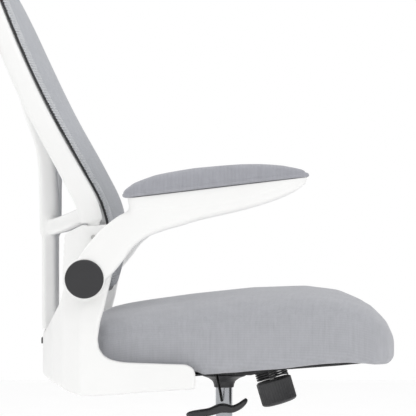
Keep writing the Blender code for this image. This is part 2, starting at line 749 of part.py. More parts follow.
def make_knob(tilt):
    knob = knob_frame()
    seat = seat_frame()
    up, axis = seat.to_3x3() @ Vector((0, 0, 1)), knob.to_3x3() @ Vector((0, 0, 1))
    under_plate = seat @ Vector((COLUMN_X, 0, TILT_PLATE_BOTTOM))
    reach = (under_plate - knob.translation).dot(up) / axis.dot(up)
    # The head leans, so its rim meets the tilt plate first
    head_height = reach - BOLT_HEAD_RADIUS * math.tan(up.angle(axis)) - BOLT_HEAD_HEIGHT - 0.0001
    profile = [
        (0, head_height + BOLT_HEAD_HEIGHT),
        (BOLT_HEAD_RADIUS, head_height + BOLT_HEAD_HEIGHT),
        (BOLT_HEAD_RADIUS, head_height),
        (BOLT_RADIUS, head_height),
        (BOLT_RADIUS, -0.022),
        (0, -0.022),
    ]
    bolt_piece = turned("tension_bolt", profile, "steel", knob, 16)
    washer = turned("spring_washer", ring_profile(BOLT_RADIUS + GAP, 0.027, -0.0015, -GAP), "steel", knob, 24)
    top = -0.0015 - GAP
    low = -KNOB_LENGTH
    knob_profile = [
        (BOLT_RADIUS + PLAY, top),
        (KNOB_RADIUS - 0.0015, top),
        (KNOB_RADIUS, top - 0.0015),
        (KNOB_RADIUS, low + 0.004),
        (KNOB_RADIUS - 0.002, low + 0.0015),
        (KNOB_RADIUS - 0.007, low - 0.0005),
        (0, low - 0.002),
        (0, -0.024),
        (BOLT_RADIUS + PLAY, -0.024),
        (BOLT_RADIUS + PLAY, top),
    ]
    grip = turned("tension_knob", knob_profile, "black", knob, 32)
    turn = joint_empty("knob_axis", (KNOB_X, 0, KNOB_Z), tilt)
    hang(tilt, bolt_piece, washer)
    hang(turn, grip)


def lean(z):
    """How much narrower the lower frame is at a height."""
    t = min(max((z - LEAN_BOTTOM) / (SOCKET_TOP - LEAN_BOTTOM), 0), 1)
    return SOCKET_LEAN * (3 * t**2 - 2 * t**3) / FRAME_HALF


def unroll(x):
    """Distance along the side plate to a place x, round the rear bow too."""
    if x >= BEND_START:
        return -x
    reach = BEND_DEPTH + FRAME_WALL / 2
    return -BEND_START + BEND_RUN * math.asin(min((BEND_START - x) / reach, 1))


def roll(point):
    """Puts a point of the flat side plate (run, wall, height) where the bent plate has it."""
    run, wall, z = point
    if run <= -BEND_START:
        x, y = -run, -FRAME_HALF - wall
    else:
        angle = min((run + BEND_START) / BEND_RUN, math.pi / 2)
        out = Vector((FRAME_HALF * math.sin(angle), BEND_DEPTH * math.cos(angle))).normalized()
        x = BEND_START - BEND_DEPTH * math.sin(angle) - wall * out.x
        y = -FRAME_HALF * math.cos(angle) - wall * out.y
    return Vector((x, y * (1 - lean(z)), z))



def lower_frame_half():
    rear = BEND_START - BEND_DEPTH - FRAME_WALL / 2
    outline = [
        (FOOT_FRONT, 0.358), (FOOT_FRONT, 0.382), (FOOT_FRONT - 0.004, 0.3905), (-0.010, 0.396),
        (-0.100, 0.399), (-0.115, 0.4005), (-0.129, 0.404), (-0.139, 0.410), (-0.146, 0.4205),
        (-0.148, 0.434), (-0.147, 0.445), (-0.1445, 0.462), (-0.138, 0.485), (-0.133, 0.508),
        (-0.1275, 0.533), (-0.1265, 0.565), (-0.130, SOCKET_TOP), (-0.172, SOCKET_TOP),
        (-0.198, 0.598), (-0.200, 0.532), (-0.1975, 0.5135), (-0.205, 0.4885), (-0.222, 0.462),
        (-0.236, 0.4435), (-0.243, 0.440), (rear, 0.440), (rear, 0.370), (-0.232, 0.369), (-0.203, 0.361),
        (-0.191, 0.354), (-0.173, 0.347), (-0.1355, 0.348), (-0.0655, 0.354),
    ]
    bm = side_body([(unroll(x), z) for x, z in outline], -FRAME_WALL / 2, FRAME_WALL / 2)
    runs = [-BEND_START + BEND_RUN * math.radians(18 * i) for i in range(5)]
    heights = [0.480, 0.570]
    cuts = [((run, 0, 0), (1, 0, 0)) for run in runs] + [((0, 0, z), (0, 0, 1)) for z in heights]
    for place, normal in cuts:
        geometry = bm.verts[:] + bm.edges[:] + bm.faces[:]
        bmesh.ops.bisect_plane(bm, geom=geometry, dist=1e-6, plane_co=place, plane_no=normal)
    for vert in bm.verts:
        vert.co = roll(vert.co)
    at_middle = [face for face in bm.faces if all(abs(vert.co.y) < 1e-5 for vert in face.verts)]
    bmesh.ops.delete(bm, geom=at_middle, context="FACES")
    bmesh.ops.recalc_face_normals(bm, faces=bm.faces)
    return bm


def make_lower_frame(tilt):
    seat = seat_frame()
    frame = add("lower_frame", lower_frame_half(), "white")
    mirror = frame.modifiers.new("other side", "MIRROR")
    mirror.use_axis = (False, True, False)
    mirror.merge_threshold = 0.0001
    soften(frame, 0.004, 1, 50)
    post = FRAME_HALF * (1 - lean(ARM_Z))
    hub_face = ARM_HUB_INNER - GAP
    screws = []
    for side, name in ((-1, "right"), (1, "left")):
        join(frame, cylinder((ARM_X, side * post, ARM_Z), (ARM_X, side * hub_face, ARM_Z), 0.031, 28))
        flange = block((0.116, 0.085, FLANGE_THICK), (-0.062, side * 0.2215, FLANGE_TOP - FLANGE_THICK / 2))
        join(frame, flange, seat)
        inside = side * (ARM_HUB_INNER - 0.025)
        cut(frame, cylinder((ARM_X, inside, ARM_Z), (ARM_X, side * 0.3, ARM_Z), 0.006 + GAP, 16))
        size = [dimension + 2 * GAP for dimension in TONGUE]
        cut(frame, block(size, (TONGUE_X, side * TONGUE_Y, SOCKET_TOP - TONGUE[2] / 2 + GAP)))
        screw_y = FRAME_HALF * (1 - lean(SCREW_Z)) + FRAME_WALL / 2

        def across(inner, outer, radius, sides=10):
            start, end = (TONGUE_X, side * inner, SCREW_Z), (TONGUE_X, side * outer, SCREW_Z)
            return cylinder(start, end, radius, sides)

        cut(frame, across(screw_y - 0.022, 0.25, SOCKET_SCREW_RADIUS + GAP))
        screw = add(f"socket_screw_{name}", across(screw_y + 0.0008, screw_y + 0.003, 0.004, 12), "steel")
        join(screw, across(screw_y - 0.020, screw_y + 0.002, SOCKET_SCREW_RADIUS))
        screws.append(screw)
    for x, y in FOOT_BOLTS:
        cut(frame, cylinder((x, y, 0.34), (x, y, 0.40), FOOT_BOLT_RADIUS + PLAY, 8), seat)
    spine_x = (SPINE_FRONT + SPINE_REAR) / 2
    cut(frame, block((0.012 + 2 * GAP, 0.044 + 2 * GAP, 0.04), (spine_x, 0, SPINE_BOTTOM - 0.015)))
    rear = BEND_START - BEND_DEPTH - FRAME_WALL / 2
    for number, y in enumerate((-SPINE_SCREW_Y, SPINE_SCREW_Y), 1):

        def through(start, end, radius, sides=10):
            return cylinder((rear + start, y, SPINE_SCREW_Z), (rear + end, y, SPINE_SCREW_Z), radius, sides)

        cut(frame, through(-0.01, 0.024, SPINE_SCREW_RADIUS + GAP))
        screw = add(f"spine_screw_{number}", through(-0.0035, -0.0008, 0.005, 12), "steel")
        join(screw, through(-0.002, 0.022, SPINE_SCREW_RADIUS))
        screws.append(screw)
    hang(tilt, frame, *screws)



def line_x(z):
    """Front edge of the back's frame, seen from the side."""
    knots = [
        (0.500, -0.150), (0.527, -0.1415), (0.590, -0.135), (0.645, -0.144), (0.698, -0.1695),
        (0.793, -0.222), (0.867, -0.258), (0.965, -0.302), (1.040, -0.338), (1.300, -0.463),
    ]
    return curve_value(knots, z)


def facing(point):
    slope = (line_x(point.z + 0.005) - line_x(point.z - 0.005)) / 0.01
    return Vector((1, 0, -slope)).normalized()


def bow(y):
    return BACK_BOW * max(1 - (y / BACK_HALF) ** 2, 0)


def back_loop(widths, start, end, count, closed=False):
    """Points round the back's outline, spread evenly, from angle to angle."""
    middle, half = (BACK_TOP + BACK_BOTTOM) / 2, (BACK_TOP - BACK_BOTTOM) / 2
    fine = []
    for step in range(801):
        angle = start + (end - start) * step / 800
        c, s = math.cos(angle), math.sin(angle)
        z = middle + half * math.copysign(abs(s) ** 0.35, s)
        share = (z - BACK_BOTTOM) / (BACK_TOP - BACK_BOTTOM)
        y = curve_value(widths, share) * math.copysign(abs(c) ** 0.35, c)
        fine.append(Vector((line_x(z) + bow(y), y, z)))
    run = [0.0]
    for a, b in zip(fine, fine[1:]):
        run.append(run[-1] + (b - a).length)
    points = []
    for i in range(count):
        place = run[-1] * i / (count if closed else count - 1)
        k = min(max(j for j in range(801) if run[j] <= place + 1e-12), 799)
        t = (place - run[k]) / (run[k + 1] - run[k]) if run[k + 1] > run[k] else 0
        points.append(fine[k].lerp(fine[k + 1], t))
    return points


def make_back(tilt):
    middle, half = (BACK_TOP + BACK_BOTTOM) / 2, (BACK_TOP - BACK_BOTTOM) / 2
    low = math.asin(((middle - SOCKET_TOP - 0.0085) / half) ** (1 / 0.35))

    def rail_depth(point):
        return 0.034 - 0.006 * min(max((point.z - 0.62) / 0.38, 0), 1)

    line = back_loop(RAIL_WIDTHS, math.pi + low, -low, 36)
    path = [point - facing(point) * (RAIL_SETBACK + rail_depth(point) / 2) for point in line]
    back = add("back_frame", sweep(path, facing, lambda p: RAIL_WIDTH, rail_depth, 0.005), "white")
    spine_x = (SPINE_FRONT + SPINE_REAR) / 2
    for side in (-1, 1):
        arm = smooth_path(
            [(spine_x, side * 0.014, 0.600), (spine_x, side * 0.046, 0.660), (-0.2390, side * 0.108, 0.735),
             (-0.2580, side * 0.166, 0.800), (-0.2760, side * 0.2085, 0.866)], 14)
        join(back, sweep(arm, lambda p: (1, 0, 0), lambda p: 0.026,
                         lambda p: 0.034 - 0.010 * (p.z - 0.6) / 0.27, 0.006))
        tongue = block(TONGUE, (TONGUE_X, side * TONGUE_Y, SOCKET_TOP - TONGUE[2] / 2 + 0.006))
        join(back, tongue)
    tie = smooth_path(
        [(-0.1640, -0.2085, 0.634), (-0.1900, -0.165, 0.622), (-0.2180, -0.100, 0.612), (spine_x, 0, 0.609),
         (-0.2180, 0.100, 0.612), (-0.1900, 0.165, 0.622), (-0.1640, 0.2085, 0.634)], 21)
    join(back, sweep(tie, lambda p: (1, 0, 0), lambda p: 0.026, lambda p: 0.016, 0.005))
    spine_height = 0.665 - SPINE_BOTTOM
    spine_size = (SPINE_FRONT - SPINE_REAR, 2 * SPINE_HALF, spine_height)
    spine = block(spine_size, (spine_x, 0, SPINE_BOTTOM + spine_height / 2))
    bmesh.ops.bevel(spine, geom=[e for e in spine.edges if abs(e.verts[0].co.z - e.verts[1].co.z) > 0.1],
                    offset=0.006, segments=2, profile=0.5, affect="EDGES")
    join(back, spine)
    join(back, block((0.012, 0.044, 0.045), (spine_x, 0, SPINE_BOTTOM - 0.0115)))
    for y in (-SPINE_SCREW_Y, SPINE_SCREW_Y):
        start, end = (spine_x - 0.03, y, SPINE_SCREW_Z), (spine_x + 0.03, y, SPINE_SCREW_Z)
        cut(back, cylinder(start, end, SPINE_SCREW_RADIUS + GAP, 10))
    for side in (-1, 1):
        start, end = (TONGUE_X, side * 0.19, SCREW_Z), (TONGUE_X, side * 0.23, SCREW_Z)
        cut(back, cylinder(start, end, SOCKET_SCREW_RADIUS + GAP, 10))
    loop = back_loop(CARRIER_WIDTHS, 0, 2 * math.pi, 40, closed=True)
    carrier_path = [point - facing(point) * 0.0012 for point in loop]
    band = sweep(carrier_path, facing, lambda p: 0.014, lambda p: 0.005, 0.0015, True)
    carrier = add("mesh_carrier", band, "black")
    mesh = add("back_mesh", mesh_body(), "mesh")
    shell = mesh.modifiers.new("wall", "SOLIDIFY")
    shell.thickness = MESH_WALL
    shell.offset = 1
    hang(tilt, back, carrier, mesh)


def mesh_body():
    """The stretched mesh as rings from its rim in to the middle, bulged to the front."""
    rim = back_loop(CARRIER_WIDTHS, 0, 2 * math.pi, 32, closed=True)
    middle = (BACK_TOP + BACK_BOTTOM) / 2
    bm = bmesh.new()
    loops = []
    for share in (1.0, 0.95, 0.82, 0.62, 0.35):
        ring = []
        for point in rim:
            y = point.y * share
            z = middle + (point.z - middle) * share
            x = line_x(z) + bow(y) + 0.0032 + MESH_BULGE * (1 - share**4)
            ring.append(bm.verts.new((x, y, z)))
        loops.append(ring)
    for a, b in zip(loops, loops[1:]):
        for i in range(len(a)):
            j = (i + 1) % len(a)
            bm.faces.new((a[i], a[j], b[j], b[i]))
    bm.faces.new(loops[-1])
    return bm



def pad_low(x):
    return 0.6595 + PAD_SLOPE * (x + 0.0643)


def arm_shell(side):
    # Upper and lower edge seen from the side, width, middle in Y
    stations = [
        (0.1790, 0.6930, 0.1745, 0.6765, 0.040, PAD_Y),
        (0.1610, 0.6925, 0.1560, 0.6640, 0.057, PAD_Y),
        (0.1200, 0.6875, 0.1200, 0.6490, 0.063, PAD_Y),
        (0.0600, 0.6805, 0.0720, 0.6350, 0.063, PAD_Y),
        (0.0000, 0.6735, 0.0150, 0.6220, 0.062, PAD_Y),
        (-0.0600, 0.6665, -0.0190, 0.6120, 0.060, 0.2805),
        (-0.1000, 0.6615, -0.0500, 0.6030, 0.054, 0.282),
        (-0.0990, 0.6380, -0.0760, 0.5920, 0.043, 0.2835),
        (-0.1165, 0.6270, -0.0940, 0.5770, 0.034, 0.2850),
        (-0.1425, 0.6060, -0.1080, 0.5580, 0.030, 0.2855),
        (-0.1655, 0.5795, -0.1250, 0.5380, 0.029, 0.2855),
        (-0.1850, 0.5500, -0.1450, 0.5200, 0.028, 0.2855),
    ]
    rings = []
    for top_x, top_z, low_x, low_z, width, middle in stations:
        top, low = Vector((top_x, 0, top_z)), Vector((low_x, 0, low_z))
        up = (top - low).normalized()
        centre = (top + low) / 2 + Vector((0, side * middle, 0))
        tall = (top - low).length
        ring = rounded_rectangle(width, tall, min(0.009, tall * 0.4), 2)
        rings.append([centre + Vector((0, a, 0)) + up * b for a, b in ring])
    return loft(rings)


def pad_body(side):
    # x, underside above the pad's line, crown, half width
    stations = [
        (-0.1100, 0.0035, 0.6610, 0.018),
        (-0.1063, 0.0008, 0.6670, 0.028),
        (-0.0916, 0.0, 0.6780, 0.036),
        (-0.0575, 0.0, 0.6900, 0.0395),
        (-0.0074, 0.0, 0.6970, 0.040),
        (0.0495, 0.0, 0.7020, 0.040),
        (0.1064, 0.0, 0.7060, 0.040),
        (0.1405, 0.0, 0.7045, 0.039),
        (0.1700, 0.0, 0.6990, 0.033),
        (0.1814, 0.0, 0.6925, 0.022),
        (0.1830, 0.0, 0.6895, 0.014),
    ]
    rings = []
    for x, lift, high, half in stations:
        low = pad_low(x) + lift
        ring = rounded_rectangle(2 * half, high - low, (high - low) * 0.42, 3)
        rings.append([Vector((x, side * PAD_Y + a, (high + low) / 2 + b)) for a, b in ring])
    return loft(rings)


def make_arm(tilt, side, name):
    def across(inner, outer, radius, sides=24):
        return cylinder((ARM_X, side * inner, ARM_Z), (ARM_X, side * outer, ARM_Z), radius, sides)

    face = ARM_HUB_INNER + ARM_HUB_WALL
    recess = face - 0.004
    head_seat = ARM_HUB_INNER + 0.018
    arm = add(f"arm_body_{name}", arm_shell(side), "white")
    join(arm, across(ARM_HUB_INNER, face, ARM_HUB_RADIUS, 32))
    cut(arm, across(recess, 0.4, ARM_CAP_RADIUS + GAP, 32))
    cut(arm, across(head_seat, 0.4, 0.0125, 18))
    cut(arm, across(0.2, 0.4, 0.006 + PLAY, 16))
    cap = add(f"arm_cap_{name}", across(recess + GAP, face + 0.0035, ARM_CAP_RADIUS, 32), "black")
    soften(cap, 0.003, 1)
    bolt_piece = add(f"arm_bolt_{name}", across(head_seat + GAP, recess - 0.001, 0.0115, 6), "steel")
    join(bolt_piece, across(ARM_HUB_INNER - 0.0245, head_seat + 0.003, 0.006, 16))
    pad = add(f"arm_pad_{name}", pad_body(side), "fabric")
    board_place = Matrix.Translation((0.035, side * PAD_Y, pad_low(0.035)))
    pad_plane = board_place @ Matrix.Rotation(-math.atan(PAD_SLOPE), 4, "Y")
    outline = rounded_rectangle(PAD_BOARD_LENGTH, PAD_BOARD_WIDTH, PAD_BOARD_CORNER, 3)
    board_low = -GAP - PAD_BOARD_THICK
    board = add(f"arm_board_{name}", outline_body(outline, board_low, -GAP), "black", pad_plane)
    cut(arm, block((0.40, 0.2, 0.04), (0, 0, 0.02 - GAP)), pad_plane)
    pocket = rounded_rectangle(PAD_BOARD_LENGTH + 2 * GAP, PAD_BOARD_WIDTH + 2 * GAP, PAD_BOARD_CORNER, 3)
    cut(arm, outline_body(pocket, board_low - GAP, 0.01), pad_plane)
    axis = joint_empty(f"arm_axis_{name}", (ARM_X, side * ARM_HUB_INNER, ARM_Z), tilt)
    hang(axis, arm, cap, pad, board)
    hang(tilt, bolt_piece)


clear_scene()
chair = new_collection("mesh_back_chair")
cutters = new_collection("cutters")
finishes = {
    "white": finish_of("white_nylon", (0.86, 0.86, 0.85), 0.42),
    "black": finish_of("black_nylon", (0.035, 0.035, 0.038), 0.5),
    "chrome": finish_of("chrome", (0.80, 0.80, 0.82), 0.12, 1.0),
    "steel": finish_of("zinc_steel", (0.45, 0.45, 0.46), 0.35, 1.0),
    "fabric": finish_of("grey_fabric", (0.36, 0.37, 0.40), 0.95),
    "mesh": finish_of("grey_mesh", (0.44, 0.46, 0.49), 0.85),
    "plywood": finish_of("plywood", (0.55, 0.40, 0.25), 0.8),
}
swivel_axis = make_base()
make_casters()
lift_axis = make_lift(swivel_axis)
tilt_axis = joint_empty("tilt_axis", (TILT_X, 0, TILT_Z), lift_axis)
make_seat(tilt_axis)
make_knob(tilt_axis)
make_lower_frame(tilt_axis)
make_back(tilt_axis)
make_arm(tilt_axis, -1, "right")
make_arm(tilt_axis, 1, "left")
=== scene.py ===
import math
import bmesh
import bpy
from mathutils import Matrix, Vector


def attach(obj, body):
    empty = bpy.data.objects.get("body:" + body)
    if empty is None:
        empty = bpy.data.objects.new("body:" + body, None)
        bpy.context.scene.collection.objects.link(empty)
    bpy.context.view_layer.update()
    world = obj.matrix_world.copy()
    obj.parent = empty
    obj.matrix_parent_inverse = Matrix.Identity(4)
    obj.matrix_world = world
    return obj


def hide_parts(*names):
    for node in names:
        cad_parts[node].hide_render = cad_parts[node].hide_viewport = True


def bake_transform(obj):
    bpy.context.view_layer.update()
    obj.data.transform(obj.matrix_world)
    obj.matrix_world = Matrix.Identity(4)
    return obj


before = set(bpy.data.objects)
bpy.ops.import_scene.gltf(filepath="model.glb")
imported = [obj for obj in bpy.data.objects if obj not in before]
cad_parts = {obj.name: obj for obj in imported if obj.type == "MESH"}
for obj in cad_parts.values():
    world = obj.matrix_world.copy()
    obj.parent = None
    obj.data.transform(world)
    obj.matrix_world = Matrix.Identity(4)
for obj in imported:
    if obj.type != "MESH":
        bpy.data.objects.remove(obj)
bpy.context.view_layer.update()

print("frame loaded")

# Camera, lights and floor

viewSet = {"place": (0.0236, -4.8, 0.64), "lens": 251.7, "front": 0.98, "rear": 0.60, "top": 0.12,
           "floor": (0.9, 0.9, 0.9)}


def areaLight(name, place, target, size, watts):
    lamp = bpy.data.lights.new(name, "AREA")
    lamp.shape = "DISK"
    lamp.size = size
    lamp.energy = watts
    holder = bpy.data.objects.new(name, lamp)
    holder.location = place
    holder.rotation_euler = (Vector(target) - Vector(place)).to_track_quat("-Z", "Y").to_euler()
    bpy.context.scene.collection.objects.link(holder)


def makeStudio():
    lens = bpy.data.cameras.new("camera")
    lens.lens = viewSet["lens"]
    lens.sensor_width = 36
    eye = bpy.data.objects.new("camera", lens)
    eye.location = viewSet["place"]
    eye.rotation_euler = (math.pi / 2, 0, 0)
    bpy.context.scene.collection.objects.link(eye)
    bpy.context.scene.camera = eye

    world = bpy.data.worlds.new("studio")
    world.use_nodes = True
    tree = world.node_tree
    sky = tree.nodes["Background"]
    sky.inputs["Color"].default_value = (1, 1, 1, 1)
    # the room is a little darker behind, so that white edges still show; the backdrop itself is plain white
    split = nodeOf(tree, "ShaderNodeSeparateXYZ")
    tree.links.new(nodeOf(tree, "ShaderNodeTexCoord").outputs["Generated"], split.inputs["Vector"])
    depth = mathOn(tree, "ADD", mathOn(tree, "MULTIPLY", split.outputs["Y"], 0.5), 0.5)
    room = rampOn(tree, depth, [(0.0, viewSet["front"]), (1.0, viewSet["rear"])])
    lifted = mathOn(tree, "ADD", room, mathOn(tree, "MULTIPLY", split.outputs["Z"], viewSet["top"]))
    seen = nodeOf(tree, "ShaderNodeLightPath").outputs["Is Camera Ray"]
    tree.links.new(mathOn(tree, "MAXIMUM", lifted, seen), sky.inputs["Strength"])
    bpy.context.scene.world = world
    bpy.context.scene.view_settings.view_transform = "Standard"

    areaLight("keyLight", (1.6, -2.6, 2.6), (0, 0, 0.6), 1.6, 10)
    areaLight("topLight", (-0.2, 0.2, 3.0), (0, 0, 0.5), 2.2, 15)
    areaLight("rearLight", (-2.4, 2.0, 1.8), (0, 0, 0.7), 1.8, 12)

    bm = bmesh.new()
    bmesh.ops.create_grid(bm, x_segments=4, y_segments=4, size=6)
    floor = makeObject("studioFloor", bm, floorFinish)


# Materials

def nodeOf(tree, kind, **settings):
    made = tree.nodes.new(kind)
    for name, value in settings.items():
        setattr(made, name, value)
    return made


def startMaterial(name, colour, roughness, metallic=0.0):
    made = bpy.data.materials.new(name)
    made.use_nodes = True
    tree = made.node_tree
    shader = tree.nodes["Principled BSDF"]
    shader.inputs["Base Color"].default_value = (*colour, 1)
    shader.inputs["Roughness"].default_value = roughness
    shader.inputs["Metallic"].default_value = metallic
    return made, tree, shader


def placeOn(tree, stretch=(1, 1, 1), turn=(0, 0, 0)):
    coords = nodeOf(tree, "ShaderNodeTexCoord")
    mapping = nodeOf(tree, "ShaderNodeMapping")
    mapping.inputs["Scale"].default_value = stretch
    mapping.inputs["Rotation"].default_value = turn
    tree.links.new(coords.outputs["Object"], mapping.inputs["Vector"])
    return mapping.outputs["Vector"]


def noiseOn(tree, where, scale, detail=3.0, rough=0.55):
    made = nodeOf(tree, "ShaderNodeTexNoise")
    made.inputs["Scale"].default_value = scale
    made.inputs["Detail"].default_value = detail
    made.inputs["Roughness"].default_value = rough
    tree.links.new(where, made.inputs["Vector"])
    return made.outputs["Fac"]


def rampOn(tree, source, stops):
    made = nodeOf(tree, "ShaderNodeValToRGB")
    points = made.color_ramp.elements
    while len(points) < len(stops):
        points.new(0.5)
    for point, (place, colour) in zip(points, stops):
        point.position = place
        point.color = (*colour, 1) if hasattr(colour, "__len__") else (colour, colour, colour, 1)
    tree.links.new(source, made.inputs["Fac"])
    return made.outputs["Color"]


def mathOn(tree, operation, a, b=None):
    made = nodeOf(tree, "ShaderNodeMath", operation=operation)
    for slot, value in zip(made.inputs, (a, b)):
        if value is None:
            continue
        if isinstance(value, (int, float)):
            slot.default_value = value
        else:
            tree.links.new(value, slot)
    return made.outputs["Value"]


def bumpOn(tree, shader, height, distance, strength=1.0, under=None):
    made = nodeOf(tree, "ShaderNodeBump")
    made.inputs["Strength"].default_value = strength
    made.inputs["Distance"].default_value = distance
    tree.links.new(height, made.inputs["Height"])
    if under is not None:
        tree.links.new(under, made.inputs["Normal"])
    tree.links.new(made.outputs["Normal"], shader.inputs["Normal"])
    return made.outputs["Normal"]


def shade(colour, factor):
    return tuple(min(c * factor, 1) for c in colour)


def mouldedPlastic(name, colour, roughness, grain, grainDepth, spread):
    made, tree, shader = startMaterial(name, colour, roughness)
    where = placeOn(tree)
    cloud = noiseOn(tree, where, 7.0, 4)
    tree.links.new(rampOn(tree, cloud, [(0.3, shade(colour, 1 - spread)), (0.7, shade(colour, 1 + spread))]),
                   shader.inputs["Base Color"])
    rub = noiseOn(tree, placeOn(tree, (1, 1, 2.5)), 38.0, 6, 0.6)
    tree.links.new(rampOn(tree, rub, [(0.35, roughness - 0.06), (0.68, roughness + 0.07)]),
                   shader.inputs["Roughness"])
    bumpOn(tree, shader, noiseOn(tree, where, grain, 2), grainDepth, 0.5)
    return made


def brushedMetal(name, colour, roughness, grain, stretch=(1, 1, 1)):
    made, tree, shader = startMaterial(name, colour, roughness, 1.0)
    cloud = noiseOn(tree, placeOn(tree), 24.0, 5)
    tree.links.new(rampOn(tree, cloud, [(0.3, shade(colour, 0.9)), (0.7, shade(colour, 1.05))]),
                   shader.inputs["Base Color"])
    drawn = noiseOn(tree, placeOn(tree, stretch), grain, 4)
    tree.links.new(rampOn(tree, drawn, [(0.3, roughness * 0.7), (0.7, roughness * 1.35)]),
                   shader.inputs["Roughness"])
    bumpOn(tree, shader, drawn, 0.00004, 0.4)
    return made


def stripesAlong(tree, axisValue, pitch):
    wave = mathOn(tree, "SINE", mathOn(tree, "MULTIPLY", axisValue, 2 * math.pi / pitch))
    return mathOn(tree, "ADD", mathOn(tree, "MULTIPLY", wave, 0.5), 0.5)


def wovenCloth(name, colour, pitch, crossPitch, streak, depth):
    made, tree, shader = startMaterial(name, colour, 0.9)
    shader.inputs["Sheen Weight"].default_value = 0.25
    shader.inputs["Sheen Roughness"].default_value = 0.6
    shader.inputs["Specular IOR Level"].default_value = 0.25
    where = placeOn(tree)
    wobble = noiseOn(tree, where, 160.0, 2)
    split = nodeOf(tree, "ShaderNodeSeparateXYZ")
    tree.links.new(where, split.inputs["Vector"])
    nudge = mathOn(tree, "MULTIPLY", wobble, pitch * 0.6)
    along = mathOn(tree, "ADD", split.outputs["X"], nudge)
    across = mathOn(tree, "ADD", mathOn(tree, "ADD", split.outputs["Y"], split.outputs["Z"]), nudge)
    warp = stripesAlong(tree, along, pitch)
    weft = stripesAlong(tree, across, crossPitch)
    threads = mathOn(tree, "ADD", mathOn(tree, "MULTIPLY", warp, 0.78), mathOn(tree, "MULTIPLY", weft, 0.22))
    streaks = noiseOn(tree, placeOn(tree, (1, 1, 0.06)), streak, 4, 0.65)
    fuzz = noiseOn(tree, where, 1400.0, 2)
    mottle = noiseOn(tree, where, 60.0, 5, 0.6)
    light = mathOn(tree, "ADD", mathOn(tree, "MULTIPLY", threads, 0.36),
                   mathOn(tree, "MULTIPLY", streaks, 0.36))
    light = mathOn(tree, "ADD", light, mathOn(tree, "MULTIPLY", mottle, 0.28))
    tree.links.new(rampOn(tree, light, [(0.25, shade(colour, 0.80)), (0.5, colour),
                                        (0.78, shade(colour, 1.13))]),
                   shader.inputs["Base Color"])
    tree.links.new(rampOn(tree, threads, [(0.0, 0.97), (1.0, 0.8)]), shader.inputs["Roughness"])
    height = mathOn(tree, "ADD", threads, mathOn(tree, "MULTIPLY", fuzz, 0.35))
    bumpOn(tree, shader, height, depth, 0.8)
    return made


def stretchedNet(name, colour, pitch, hole, rim):
    made, tree, shader = startMaterial(name, colour, 0.72)
    shader.inputs["Sheen Weight"].default_value = 0.15
    flat = nodeOf(tree, "ShaderNodeUVMap", uv_map="flatCut")
    split = nodeOf(tree, "ShaderNodeSeparateXYZ")
    tree.links.new(flat.outputs["UV"], split.inputs["Vector"])
    u, v = split.outputs["X"], split.outputs["Y"]
    edge = nodeOf(tree, "ShaderNodeAttribute", attribute_name="fromRim")
    inBorder = mathOn(tree, "LESS_THAN", edge.outputs["Fac"], rim)
    cellsU, cellsV = stripesAlong(tree, u, pitch), stripesAlong(tree, v, pitch * 1.15)
    eyesU, eyesV = stripesAlong(tree, u, pitch * 1.7), stripesAlong(tree, v, pitch * 1.7)
    closed = mathOn(tree, "MULTIPLY", cellsU, cellsV)
    opened = mathOn(tree, "MULTIPLY", eyesU, eyesV)
    fieldHole = mathOn(tree, "GREATER_THAN", closed, 1 - hole)
    borderHole = mathOn(tree, "GREATER_THAN", opened, 0.42)
    pick = nodeOf(tree, "ShaderNodeMix", data_type="FLOAT")
    tree.links.new(inBorder, pick.inputs["Factor"])
    tree.links.new(fieldHole, pick.inputs["A"])
    tree.links.new(borderHole, pick.inputs["B"])
    tree.links.new(mathOn(tree, "SUBTRACT", 1.0, pick.outputs["Result"]), shader.inputs["Alpha"])
    # twill ribs show most low on the back, and darken the net there
    height = nodeOf(tree, "ShaderNodeSeparateXYZ")
    tree.links.new(placeOn(tree), height.inputs["Vector"])
    low = rampOn(tree, height.outputs["Z"], [(0.66, 1.0), (0.78, 0.25)])
    twill = stripesAlong(tree, mathOn(tree, "ADD", mathOn(tree, "MULTIPLY", u, 0.7), v), pitch * 1.6)
    ribs = mathOn(tree, "MULTIPLY", twill, low)
    threads = mathOn(tree, "ADD", mathOn(tree, "MULTIPLY", closed, -0.5), mathOn(tree, "MULTIPLY", ribs, 0.7))
    cloud = noiseOn(tree, placeOn(tree), 110.0, 4)
    light = mathOn(tree, "ADD", mathOn(tree, "MULTIPLY", ribs, -0.45), mathOn(tree, "MULTIPLY", cloud, 0.22))
    light = mathOn(tree, "ADD", light, 0.36)
    stitch = mathOn(tree, "GREATER_THAN", stripesAlong(tree, mathOn(tree, "ADD", u, v), pitch * 1.3), 0.45)
    light = mathOn(tree, "ADD", light, mathOn(tree, "MULTIPLY", mathOn(tree, "MULTIPLY", stitch, inBorder),
                                              0.36))
    tree.links.new(rampOn(tree, light, [(0.1, shade(colour, 0.62)), (0.42, colour),
                                        (0.9, (0.84, 0.85, 0.86))]),
                   shader.inputs["Base Color"])
    bumpOn(tree, shader, threads, 0.0006, 0.9)
    return made


def plyBoard(name, colour):
    made, tree, shader = startMaterial(name, colour, 0.7)
    rings = noiseOn(tree, placeOn(tree, (1.5, 14, 60)), 6.0, 6, 0.7)
    tree.links.new(rampOn(tree, rings, [(0.3, shade(colour, 0.62)), (0.5, colour),
                                        (0.7, shade(colour, 1.25))]),
                   shader.inputs["Base Color"])
    bumpOn(tree, shader, rings, 0.0002, 0.5)
    return made


